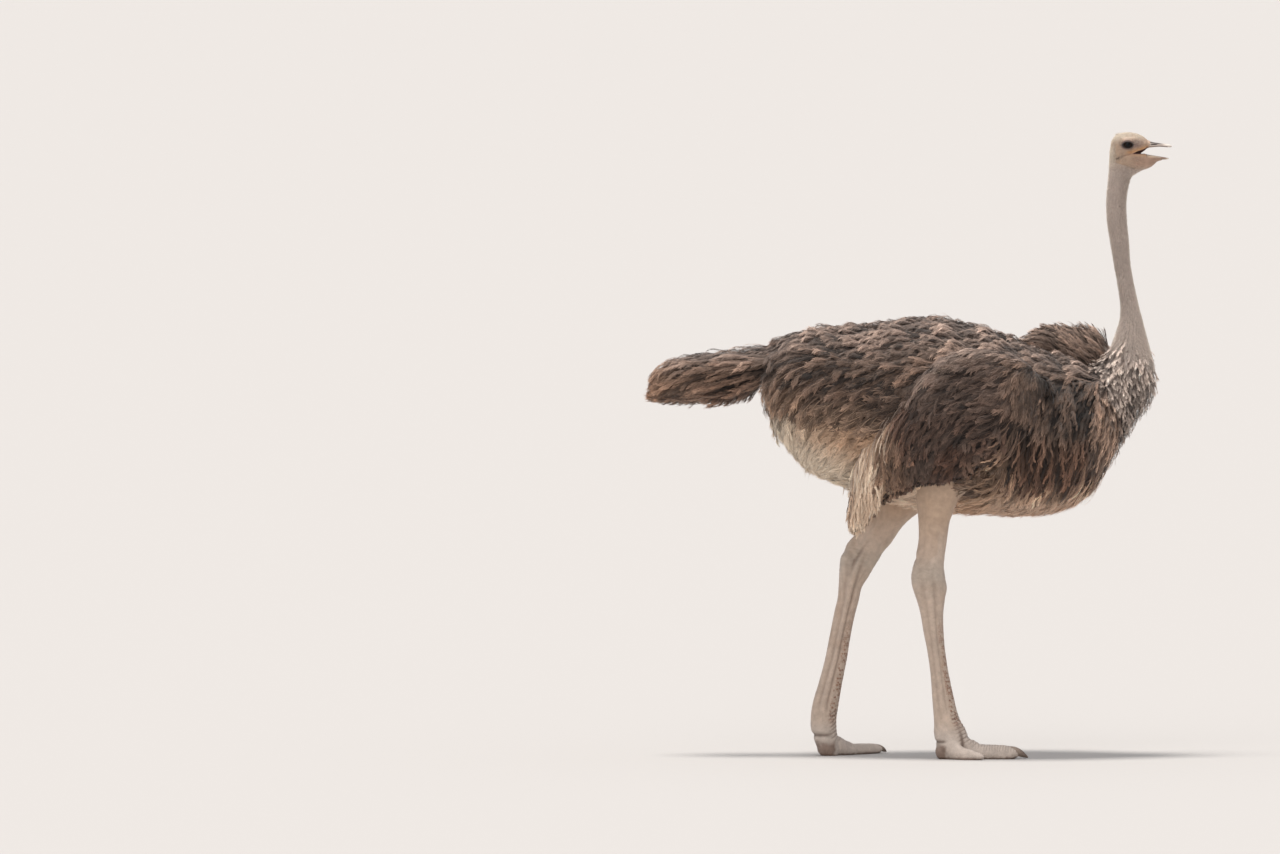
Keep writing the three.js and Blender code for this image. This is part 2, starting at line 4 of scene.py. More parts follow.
import bpy
import numpy as np
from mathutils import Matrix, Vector
from mathutils.kdtree import KDTree

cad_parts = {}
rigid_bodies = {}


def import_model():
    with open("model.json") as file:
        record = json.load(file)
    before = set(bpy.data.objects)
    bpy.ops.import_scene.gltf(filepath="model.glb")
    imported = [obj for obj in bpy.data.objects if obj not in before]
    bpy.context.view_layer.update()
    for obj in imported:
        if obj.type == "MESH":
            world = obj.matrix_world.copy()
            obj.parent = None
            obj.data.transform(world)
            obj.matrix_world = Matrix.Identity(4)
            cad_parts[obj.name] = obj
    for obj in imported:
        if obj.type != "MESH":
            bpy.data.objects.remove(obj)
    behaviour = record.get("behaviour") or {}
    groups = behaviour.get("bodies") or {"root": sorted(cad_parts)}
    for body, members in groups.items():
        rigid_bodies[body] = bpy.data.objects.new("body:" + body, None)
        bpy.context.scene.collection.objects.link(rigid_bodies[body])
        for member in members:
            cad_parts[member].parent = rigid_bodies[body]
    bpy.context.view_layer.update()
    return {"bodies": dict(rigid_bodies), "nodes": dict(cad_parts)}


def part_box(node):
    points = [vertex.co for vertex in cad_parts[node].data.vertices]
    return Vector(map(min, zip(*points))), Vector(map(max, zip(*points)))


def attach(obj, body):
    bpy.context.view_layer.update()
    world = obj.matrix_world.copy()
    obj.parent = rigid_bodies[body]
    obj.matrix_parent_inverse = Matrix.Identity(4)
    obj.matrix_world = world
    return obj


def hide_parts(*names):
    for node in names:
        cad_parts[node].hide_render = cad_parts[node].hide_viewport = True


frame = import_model()
BODY_NAME = "root" if "root" in frame["bodies"] else sorted(frame["bodies"])[0]
SHIFT = np.array([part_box("bill_upper")[1].x * 1000 - 784.0, 0.0, 0.0])


def metres(p):
    return (np.asarray(p, float) + SHIFT) / 1000.0


# ------------------------------------------------------------------ rows of rings, as in the CAD
# each ring: ax, az (upper or rear outline), bx, bz (lower or front outline), y, half width, k
BODY = [
    ("rump_end", -441, 1166, -437, 1084, 0, 44, 0), ("rump", -426, 1232, -423, 1036, 0, 96, 0),
    ("croup", -372, 1264, -399, 974, 0, 134, 0.05), ("vent", -306, 1288, -354, 904, 0, 160, 0.08),
    ("loin_rear", -222, 1298, -276, 844, 0, 186, 0.1), ("loin", -126, 1300, -180, 802, 0, 208, 0.1),
    ("back_rear", -30, 1316, -78, 770, 0, 226, 0.1), ("back", 60, 1322, 24, 740, 0, 238, 0.1),
    ("back_front", 150, 1310, 129, 728, 0, 244, 0.1), ("side", 240, 1288, 246, 728, 0, 244, 0.08),
    ("shoulder", 315, 1256, 351, 724, 0, 237, 0.05), ("keel", 390, 1228, 444, 736, 0, 222, 0),
    ("breast_low", 456, 1208, 516, 766, 0, 198, 0), ("breast", 507, 1190, 570, 820, 0, 171, 0),
    ("breast_high", 537, 1181, 606, 886, 0, 146, 0), ("crop", 558, 1182, 639, 950, 0, 124, 0),
    ("neck_root", 573, 1190, 681, 1016, 0, 103, 0), ("neck_cone", 585, 1204, 723, 1078, 0, 86, 0),
    ("neck_bulge", 594, 1222, 738, 1150, 0, 71, 0), ("neck_low", 606, 1252, 726, 1214, 0, 59, 0),
    ("neck_taper", 618, 1286, 711, 1268, 0, 49, 0), ("neck_ring", 627, 1318, 700, 1310, 0, 42, 0),
    ("neck_third", 628, 1360, 688, 1356, 0, 36, 0), ("neck_fourth", 621, 1412, 676, 1408, 0, 33, 0),
    ("neck_middle", 609, 1480, 663, 1479, 0, 31.5, 0), ("neck_sixth", 597, 1550, 658, 1550, 0, 31.5, 0),
    ("neck_high", 588, 1612, 652, 1612, 0, 32, 0), ("neck_eighth", 586, 1672, 651, 1676, 0, 32, 0),
    ("neck_top", 591, 1730, 663, 1734, 0, 33.5, 0), ("nape", 594, 1766, 681, 1752, 0, 36, 0),
    ("jaw_angle", 597, 1798, 699, 1760, 0, 38.5, 0.1), ("ear", 599, 1826, 714, 1765, 0, 40.5, 0.25),
    ("occiput", 605, 1850, 726, 1771, 0, 41.5, 0.35), ("crown_rear", 622, 1868, 735, 1779, 0, 41.5, 0.4),
    ("crown", 648, 1874, 742, 1786, 0, 40, 0.4), ("forehead", 675, 1871, 748, 1789, 0, 36, 0.35),
    ("brow_front", 696, 1862, 753, 1791, 0, 30.5, 0.2), ("bill_root", 713, 1851, 757, 1792, 0, 25.5, 0.1),
]
RUFF = [
    ("rear_tip", 346, 1254, 352, 1216, 58, 16, 0), ("rear", 378, 1280, 380, 1150, 62, 42, 0),
    ("crest", 420, 1301, 424, 1110, 66, 54, 0), ("middle", 464, 1300, 470, 1100, 66, 58, 0),
    ("front_rise", 514, 1292, 516, 1096, 62, 56, 0), ("front", 562, 1281, 560, 1100, 54, 48, 0),
    ("front_tip", 603, 1252, 590, 1170, 44, 26, 0),
    ("nose", 612, 1226, 606, 1192, 38, 8, 0),
]
TAIL = [
    ("root", -330, 1262, -330, 1110, 0, 74, 0), ("stem", -412, 1240, -426, 1104, 0, 82, 0),
    ("stem_end", -468, 1232, -480, 1084, 0, 88, 0), ("broad", -540, 1224, -545, 1064, 0, 92, 0),
    ("middle", -615, 1216, -615, 1060, 0, 92, 0), ("droop", -684, 1204, -682, 1060, 0, 84, 0),
    ("end", -736, 1184, -734, 1064, 0, 68, 0), ("tip", -768, 1154, -766, 1078, 0, 44, 0),
    ("last", -781, 1128, -780, 1100, 0, 18, 0),
]
WING = [
    ("wrist_tip", 420, 1128, 415, 1106, 204, 7, 0),
    ("wrist", 402, 1150, 392, 1094, 214, 20, 0), ("shoulder", 352, 1192, 366, 1018, 222, 36, 0),
    ("fore_edge", 282, 1222, 312, 938, 226, 46, 0), ("upper_arm", 204, 1230, 232, 880, 226, 50, 0),
    ("arm", 120, 1212, 156, 842, 222, 52, 0), ("elbow", 44, 1166, 88, 828, 214, 52, 0),
    ("coverts", -30, 1080, 30, 820, 204, 50, 0), ("quills", -96, 1008, -20, 800, 190, 44, 0),
    ("quill_bend", -146, 948, -60, 778, 176, 37, 0), ("quill_hang", -176, 876, -92, 752, 168, 30, 0),
    ("quill_ends", -181, 800, -118, 718, 164, 24, 0), ("tips", -182, 728, -142, 694, 162, 15, 0),
    ("last_tip", -178, 694, -158, 684, 162, 6, 0),
]
LEG_RIGHT = [
    ("drumstick_root", -30, 976, 238, 958, -112, 84, 0), ("drumstick_top", -8, 900, 204, 890, -114, 84, 0),
    ("drumstick", 6, 832, 164, 832, -112, 74, 0), ("calf", 18, 773, 142, 773, -109, 60, 0),
    ("shank", 25, 713, 118, 713, -107, 48, 0), ("shank_low", 25, 652, 108, 652, -107, 41.5, 0),
    ("hock_top", 13, 592, 101, 592, -106, 40, 0), ("hock", 5, 556, 103, 556, -105, 43, 0),
    ("hock_low", 6, 517, 108, 517, -104, 43, 0), ("hock_end", 20, 472, 102, 472, -104, 36, 0),
    ("tarsus_top", 30, 434, 98, 434, -104, 30, 0), ("tarsus_upper", 39, 381, 99, 381, -104, 26, 0),
    ("tarsus", 51, 320, 104, 320, -104, 24.5, 0), ("tarsus_low", 60, 254, 114, 257, -104, 25, 0),
    ("tarsus_end", 66, 171, 131, 177, -104, 28, 0), ("foot_neck", 70, 118, 146, 124, -104, 31, 0),
    ("foot_joint", 72, 76, 168, 84, -104, 34, 0), ("pad_top", 76, 46, 176, 52, -104, 35, 0),
    ("pad", 86, 20, 178, 24, -104, 32, 0), ("sole", 104, -6, 170, -6, -104, 25, 0),
]
LEG_LEFT = [
    ("drumstick_root", 16, 974, 196, 872, 90, 74, 0), ("drumstick_top", -20, 900, 130, 812, 93, 76, 0),
    ("drumstick", -50, 836, 75, 768, 95, 70, 0), ("calf", -84, 768, 24, 728, 96, 58, 0),
    ("shank", -116, 714, -20, 690, 97, 48, 0), ("shank_low", -152, 672, -53, 643, 97, 42, 0),
    ("hock_top", -182, 640, -79, 609, 97, 40.5, 0), ("hock", -203, 600, -98, 578, 97, 43, 0),
    ("hock_low", -211, 554, -119, 545, 96, 43, 0), ("hock_end", -213, 508, -143, 505, 96, 37, 0),
    ("tarsus_top", -216, 472, -152, 467, 96, 31, 0), ("tarsus_upper", -225, 434, -164, 422, 96, 27, 0),
    ("tarsus", -238, 368, -177, 359, 96, 25, 0), ("tarsus_low", -254, 288, -189, 285, 96, 25.5, 0),
    ("tarsus_end", -273, 217, -203, 214, 96, 28, 0), ("foot_neck", -290, 160, -212, 158, 96, 31, 0),
    ("foot_joint", -297, 108, -219, 108, 96, 34, 0), ("pad_top", -291, 62, -217, 64, 96, 35, 0),
    ("pad", -279, 30, -213, 30, 96, 32, 0), ("sole", -262, -6, -214, -6, 96, 25, 0),
]
TOE_INNER = [
    ("heel", 8, 60, 8, 8, 0, 26, 0), ("knuckle", 34, 62, 30, -4, -2, 31, -0.2),
    ("first_pad", 66, 54, 64, -6, -5, 30, -0.25), ("second", 104, 49, 104, -5, -8, 27, -0.25),
    ("third", 144, 47, 144, -5, -10, 25, -0.25), ("ball", 176, 45, 178, -4, -11, 24, -0.25),
    ("tip", 200, 38, 202, 2, -12, 20, -0.1), ("end", 213, 26, 213, 9, -12, 11, 0),
]
TOE_OUTER = [
    ("root", 2, 52, 2, 8, 12, 22, 0), ("knuckle", 24, 52, 22, -3, 26, 20, -0.1),
    ("pad", 52, 38, 50, -5, 42, 19, -0.2), ("ball", 80, 31, 80, -4, 52, 17.5, -0.2),
    ("tip", 102, 22, 103, 1, 58, 13.5, 0), ("end", 113, 15, 113, 6, 61, 6, 0),
]
CLAW = [
    ("bed", 190, 43, 196, 14, -12, 15.5, 0.2), ("plate", 208, 39, 210, 10, -12, 14, 0.2),
    ("curve", 224, 29, 223, 6, -12, 10.5, 0.2), ("point", 236, 16, 234, 4, -12, 6, 0),
    ("end", 242, 7, 241, 3, -12, 2.2, 0),
]
BILL_UPPER = [
    ("root", 711.2, 1852, 705, 1827.6, 0, 27.5, -0.4), ("base", 724, 1847.2, 720, 1829.4, 0, 25.5, -0.5),
    ("nostril", 738, 1844.5, 736, 1831.2, 0, 22.5, -0.5), ("middle", 752, 1842.8, 751, 1831.8, 0, 19.5, -0.4),
    ("nail", 766, 1841.4, 766, 1831.2, 0, 16.5, -0.3), ("nail_end", 777, 1839.2, 777, 1830.6, 0, 12.5, 0),
    ("tip", 784, 1835.6, 784, 1831, 0, 6.5, 0),
]
BILL_LOWER = [
    ("root", 707, 1811, 709.3, 1793.7, 0, 26, 0.4), ("base", 724, 1808, 726, 1793.7, 0, 24, 0.4),
    ("middle", 742, 1804.6, 743, 1793.7, 0, 20.5, 0.4), ("fore", 757, 1801.6, 757, 1793.7, 0, 17, 0.3),
    ("nail", 768, 1800, 768, 1793.9, 0, 13, 0.2), ("tip", 775, 1798.4, 775, 1795.4, 0, 6.5, 0),
]
EYE = np.array([651.0, 26.5, 1838.5])
EYE_R = 19.0
LID = 2.2
LID_OPENING = (14.4, 10.6)
FOOT_RIGHT = (110.0, -104.0, -4.0, -1)  # x, track, turn in degrees, side
FOOT_LEFT = (-243.0, 96.0, 46.0, 1)
MOUTH = [(664, 1812), (704, 1827.2), (712, 1859), (800, 1859), (800, 1794.6), (708.6, 1794.6), (706.2, 1811)]


class Row:
    """A row of rings, and the surface through them: s counts rings, phi goes round (pi/2 is the a side)."""

    def __init__(self, rings, place=None, flip=1.0):
        self.names = [r[0] for r in rings]
        self.a = np.array([r[1:] for r in rings], float)
        self.a[:, 4] *= flip
        self.n = len(rings) - 1
        self.place = place

    def index(self, name):
        return self.names.index(name)

    def ring(self, s):
        s = np.asarray(s, float)
        i = np.clip(np.floor(s).astype(int), 0, self.n - 1)
        t = (s - i)[..., None]
        p1, p2 = self.a[i], self.a[i + 1]
        p0 = np.where((i > 0)[..., None], self.a[np.maximum(i - 1, 0)], 2 * p1 - p2)
        p3 = np.where((i + 2 <= self.n)[..., None], self.a[np.minimum(i + 2, self.n)], 2 * p2 - p1)
        return 0.5 * (2 * p1 + (p2 - p0) * t + (2 * p0 - 5 * p1 + 4 * p2 - p3) * t**2 + (3 * p1 - p0 - 3 * p2 + p3) * t**3)

    def point(self, s, phi, grow=0.0):
        s, phi = np.broadcast_arrays(np.asarray(s, float), np.asarray(phi, float))
        r = self.ring(s)
        ax, az, bx, bz, y, w, k = (r[..., j] for j in range(7))
        half = np.hypot(ax - bx, az - bz) / 2
        ux, uz = (ax - bx) / (2 * half), (az - bz) / (2 * half)
        h, w = np.maximum(half + grow, 1.0), np.maximum(w + grow, 1.0)
        sp = np.sin(phi)
        v = np.where(sp > 0, k + (1 - k) * sp, k + (1 + k) * sp)
        p = np.stack([(ax + bx) / 2 + ux * v * h, y + np.cos(phi) * w, (az + bz) / 2 + uz * v * h], -1)
        return self.place(p) if self.place else p

    def frame(self, s, phi, grow=0.0):
        """Point, derivatives along s and phi, and the outward normal."""
        e = 2e-3
        s = np.asarray(s, float)
        phi = np.asarray(phi, float)
        p = self.point(s, phi, grow)
        lo, hi = np.clip(s - e, 0, self.n), np.clip(s + e, 0, self.n)
        ds = (self.point(hi, phi, grow) - self.point(lo, phi, grow)) / (hi - lo)[..., None]
        df = (self.point(s, phi + e, grow) - self.point(s, phi - e, grow)) / (2 * e)
        n = np.cross(ds, df)
        c = (self.point(s, phi + math.pi, grow) + p) / 2
        n *= np.where((n * (p - c)).sum(-1) < 0, -1.0, 1.0)[..., None]
        return p, ds, df, n / np.maximum(np.linalg.norm(n, axis=-1, keepdims=True), 1e-9)


def foot_place(x, track, turn, side):
    c, s = math.cos(math.radians(turn)), math.sin(math.radians(turn))

    def put(p):
        q = np.array(p)
        y = p[..., 1] * side
        q[..., 0] = x + c * p[..., 0] - s * y
        q[..., 1] = track + s * p[..., 0] + c * y
        return q

    return put


BODY_ROW = Row(BODY)
RUFF_ROW = Row(RUFF)
TAIL_ROW = Row(TAIL)
WING_ROWS = {1: Row(WING), -1: Row(WING, flip=-1.0)}

# ------------------------------------------------------------------ small tools

def smooth(e0, e1, x):
    t = np.clip((np.asarray(x, float) - e0) / (e1 - e0), 0, 1)
    return t * t * (3 - 2 * t)


def unit(v):
    return v / np.maximum(np.linalg.norm(v, axis=-1, keepdims=True), 1e-9)


def hashed(i, j, k, seed):
    h = (i * 374761393 + j * 668265263 + k * 2147483647 + seed * 974634777) & 0xFFFFFFFF
    h = ((h ^ (h >> 13)) * 1274126177) & 0xFFFFFFFF
    return ((h ^ (h >> 16)) & 0xFFFF) / 65535.0


def noise(p, size, seed=0):
    """Smooth value noise from -1 to 1."""
    q = np.asarray(p, float) / size
    b = np.floor(q).astype(np.int64)
    f = q - b
    f = f * f * (3 - 2 * f)
    out = 0
    for dx in (0, 1):
        for dy in (0, 1):
            for dz in (0, 1):
                w = (f[..., 0] if dx else 1 - f[..., 0]) * (f[..., 1] if dy else 1 - f[..., 1]) * (f[..., 2] if dz else 1 - f[..., 2])
                out = out + w * hashed(b[..., 0] + dx, b[..., 1] + dy, b[..., 2] + dz, seed)
    return out * 2 - 1


def rgb(r, g, b):
    """sRGB 0..255 to linear."""
    c = np.array([r, g, b], float) / 255
    return np.where(c <= 0.04045, c / 12.92, ((c + 0.055) / 1.055) ** 2.4)


def mix(a, b, t):
    t = np.asarray(t, float)[..., None]
    return a * (1 - t) + b * t


def new_mesh(name, verts, polys, smooth_faces=True, in_mm=True):
    """polys is a list of (k, m) integer arrays with k corners each row."""
    me = bpy.data.meshes.new(name)
    verts = metres(verts) if in_mm else np.asarray(verts)
    polys = [np.asarray(q, np.int32) for q in polys if len(q)]
    me.vertices.add(len(verts))
    me.vertices.foreach_set("co", verts.astype(np.float32).ravel())
    loops = np.concatenate([q.ravel() for q in polys])
    total = np.concatenate([np.full(len(q), q.shape[1], np.int32) for q in polys])
    start = np.concatenate([[0], np.cumsum(total)[:-1]]).astype(np.int32)
    me.loops.add(len(loops))
    me.loops.foreach_set("vertex_index", loops)
    me.polygons.add(len(total))
    me.polygons.foreach_set("loop_start", start)
    me.polygons.foreach_set("use_smooth", np.full(len(total), smooth_faces))
    me.update(calc_edges=True)
    me.validate()
    ob = bpy.data.objects.new(name, me)
    bpy.context.scene.collection.objects.link(ob)
    return ob


def loft_object(name, row, s0, s1, ns, nf, inset=0.0, clip_floor=False):
    """A closed mesh from ring s0 to s1. inset is a number or a function of s."""
    s = np.linspace(s0, s1, ns)
    phi = np.arange(nf) * 2 * math.pi / nf
    S, F = np.meshgrid(s, phi, indexing="ij")
    g = -inset(S) if callable(inset) else -inset
    p = row.point(S, F, g)
    verts = p.reshape(-1, 3)
    if clip_floor:
        verts[:, 2] = np.maximum(verts[:, 2], 0)
    i = np.arange(ns - 1)[:, None] * nf
    j = np.arange(nf)[None, :]
    a, b = i + j, i + (j + 1) % nf
    quads = np.stack([a, a + nf, b + nf, b], -1).reshape(-1, 4)
    c0, c1 = len(verts), len(verts) + 1
    verts = np.vstack([verts, p[0].mean(0), p[-1].mean(0)])
    jj = np.arange(nf)
    k = (jj + 1) % nf
    tris = np.vstack([
        np.stack([np.full(nf, c0), jj, k], -1),
        np.stack([np.full(nf, c1), (ns - 1) * nf + k, (ns - 1) * nf + jj], -1),
    ])
    ob = new_mesh(name, verts, [quads, tris])
    # facing out
    v = verts
    t = np.vstack([quads[:, [0, 1, 2]], quads[:, [0, 2, 3]], tris])
    vol = (np.cross(v[t[:, 0]], v[t[:, 1]]) * v[t[:, 2]]).sum() / 6
    if vol < 0:
        ob.data.flip_normals()
    return ob


def ellipsoid(name, centre, radii, nu=32, nv=20, turn=None):
    u = np.arange(nu) * 2 * math.pi / nu
    v = np.linspace(0, math.pi, nv + 1)[1:-1]
    V, U = np.meshgrid(v, u, indexing="ij")
    p = np.stack([np.cos(U) * np.sin(V), np.sin(U) * np.sin(V), np.cos(V)], -1).reshape(-1, 3)
    p = np.vstack([p, [0, 0, 1], [0, 0, -1]]) * np.asarray(radii, float)
    if turn is not None:
        p = p @ np.asarray(turn, float).T
    p = p + np.asarray(centre, float)
    m = len(v)
    i = np.arange(m - 1)[:, None] * nu
    j = np.arange(nu)[None, :]
    a, b = i + j, i + (j + 1) % nu
    quads = np.stack([a, a + nu, b + nu, b], -1).reshape(-1, 4)
    top, bottom = m * nu, m * nu + 1
    jj = np.arange(nu)
    k = (jj + 1) % nu
    tris = np.vstack([np.stack([np.full(nu, top), jj, k], -1), np.stack([np.full(nu, bottom), (m - 1) * nu + k, (m - 1) * nu + jj], -1)])
    return new_mesh(name, p, [quads, tris])


def prism(name, corners, y0, y1):
    """A wedge of the side view as [x, z] corners, run from y0 to y1."""
    c = np.array(corners, float)
    n = len(c)
    area = (c[:, 0] * np.roll(c[:, 1], -1) - np.roll(c[:, 0], -1) * c[:, 1]).sum()
    if area < 0:
        c = c[::-1]
    lo = np.stack([c[:, 0], np.full(n, float(y0)), c[:, 1]], -1)
    hi = lo.copy()
    hi[:, 1] = y1
    sides = np.array([[i, (i + 1) % n, n + (i + 1) % n, n + i] for i in range(n)])
    caps = np.array([list(range(n))[::-1], list(range(n, 2 * n))])
    ob = new_mesh(name, np.vstack([lo, hi]), [sides, caps], False)
    import bmesh

    bm = bmesh.new()
    bm.from_mesh(ob.data)
    bmesh.ops.recalc_face_normals(bm, faces=bm.faces)
    bmesh.ops.triangulate(bm, faces=bm.faces)
    bm.to_mesh(ob.data)
    bm.free()
    return ob


def evaluated(ob):
    """ob with its modifiers made real."""
    bpy.context.view_layer.update()
    dg = bpy.context.evaluated_depsgraph_get()
    me = bpy.data.meshes.new_from_object(ob.evaluated_get(dg))
    old = ob.data
    ob.modifiers.clear()
    ob.data = me
    bpy.data.meshes.remove(old)
    return ob


def combine(base, other, operation, solver="MANIFOLD"):
    m = base.modifiers.new("cut", "BOOLEAN")
    m.operation = operation
    m.object = other
    m.solver = solver
    evaluated(base)
    bpy.data.objects.remove(other)
    return base


def remesh(ob, voxel_mm):
    m = ob.modifiers.new("remesh", "REMESH")
    m.mode = "VOXEL"
    m.voxel_size = voxel_mm / 1000
    m.adaptivity = 0
    return evaluated(ob)


def coords(ob):
    """Vertex places in millimetres of the design frame."""
    co = np.empty(len(ob.data.vertices) * 3, np.float32)
    ob.data.vertices.foreach_get("co", co)
    return co.reshape(-1, 3).astype(float) * 1000 - SHIFT


def set_coords(ob, p):
    ob.data.vertices.foreach_set("co", metres(p).astype(np.float32).ravel())
    ob.data.update()


def vertex_normals(ob):
    n = np.empty(len(ob.data.vertices) * 3, np.float32)
    ob.data.vertex_normals.foreach_get("vector", n)
    return n.reshape(-1, 3).astype(float)


def edges_of(ob):
    e = np.empty(len(ob.data.edges) * 2, np.int32)
    ob.data.edges.foreach_get("vertices", e)
    return e.reshape(-1, 2)


def relax(ob, times, weight=None, amount=0.5):
    """Laplacian smoothing; weight is a mask for each vertex."""
    p = coords(ob)
    e = edges_of(ob)
    n = len(p)
    deg = np.maximum(np.bincount(e.ravel(), minlength=n), 1)[:, None]
    w = amount if weight is None else amount * weight[:, None]
    for _ in range(times):
        acc = np.zeros_like(p)
        for k in range(3):
            acc[:, k] = np.bincount(e[:, 0], p[e[:, 1], k], n) + np.bincount(e[:, 1], p[e[:, 0], k], n)
        p += w * (acc / deg - p)
    set_coords(ob, p)
    return ob


def reduce_to(ob, triangles):
    ob.data.calc_loop_triangles()
    now = len(ob.data.loop_triangles)
    if now > triangles:
        m = ob.modifiers.new("fewer", "DECIMATE")
        m.ratio = triangles / now
        m.use_collapse_triangulate = True
        evaluated(ob)
    return ob


# ------------------------------------------------------------------ colours, shared by skin and coat
# Where the brown plumage ends and the pale belly begins, as x and z along the side.
PALE_X = np.array([-470, -444, -390, -330, -240, -165, -120, -60, 0, 50, 110, 200, 350, 450, 520, 600], float)
PALE_Z = np.array([1010, 1008, 1000, 984, 972, 966, 950, 905, 862, 818, 790, 774, 772, 776, 793, 824], float)

# tip and foot colours for plumage facing upwards: paler, mostly painted top light
TOP_TIP_LIT = rgb(204, 177, 160)
TOP_BASE_LIT = rgb(66, 50, 42)
SIDE_TIP = rgb(164, 132, 111)
SIDE_BASE = rgb(38, 28, 23)
BREAST_TIP = rgb(134, 109, 93)
BREAST_BASE = rgb(12, 8, 6)
LOW_TIP = rgb(120, 86, 66)
LOW_BASE = rgb(58, 43, 35)
NOSE_TIP = rgb(202, 168, 144)
WING_TIP = rgb(124, 101, 88)
WING_BASE = rgb(34, 25, 21)
BUFF = rgb(224, 187, 155)
BUFF_DARK = rgb(184, 149, 121)
WHITE = rgb(243, 229, 209)
WHITE_DARK = rgb(206, 184, 161)
NECK_SKIN = rgb(172, 155, 145)
CREAM = rgb(226, 213, 197)
NECK_TUFT = rgb(230, 210, 195)
NECK_TUFT_DARK = rgb(62, 47, 39)
LEG = rgb(198, 177, 160)
FACE = rgb(178, 151, 130)
GAPE = rgb(178, 130, 86)
MOUTH_IN = rgb(96, 60, 50)


def paleness(p):
    """0 on brown plumage, 1 on the pale belly."""
    edge = np.interp(p[..., 0], PALE_X, PALE_Z) + 16 * noise(p * [1, 1, 0.4], 26, 3)
    return smooth(14, -14, p[..., 2] - edge)


def whiteness(p):
    """How near the belly's lower edge: there the down is whitest."""
    low = BODY_ROW.ring(np.interp(p[..., 0], BODY_ROW.a[:13, 2], np.arange(13)))[..., 3]
    return smooth(150, 20, p[..., 2] - low) * smooth(130, 30, p[..., 0])


# ------------------------------------------------------------------ the skin
REAR_Z = [684, 800, 876, 948, 1008, 1080, 1166]
REAR_X = [-182, -181, -176, -146, -96, -30, 44]


def plume_edge(p):
    """Distance in front of the wing's rear edge, as a share of how far the pale plumes reach."""
    e = p[..., 0] - np.interp(p[..., 2], REAR_Z, REAR_X)
    return np.where(e > -25, e / (24 + 76 * smooth(1000, 850, p[..., 2])), 9.0)


def inset_body(s):
    s = np.asarray(s, float)
    x = [0, 1.5, 14, 15.5, 17, 18.5, 21, 29, 30.5, 37]
    d = [22, 26, 26, 20, 13, 9, 6.0, 5.5, 3.2, 0.8]
    return np.interp(s, x, d)


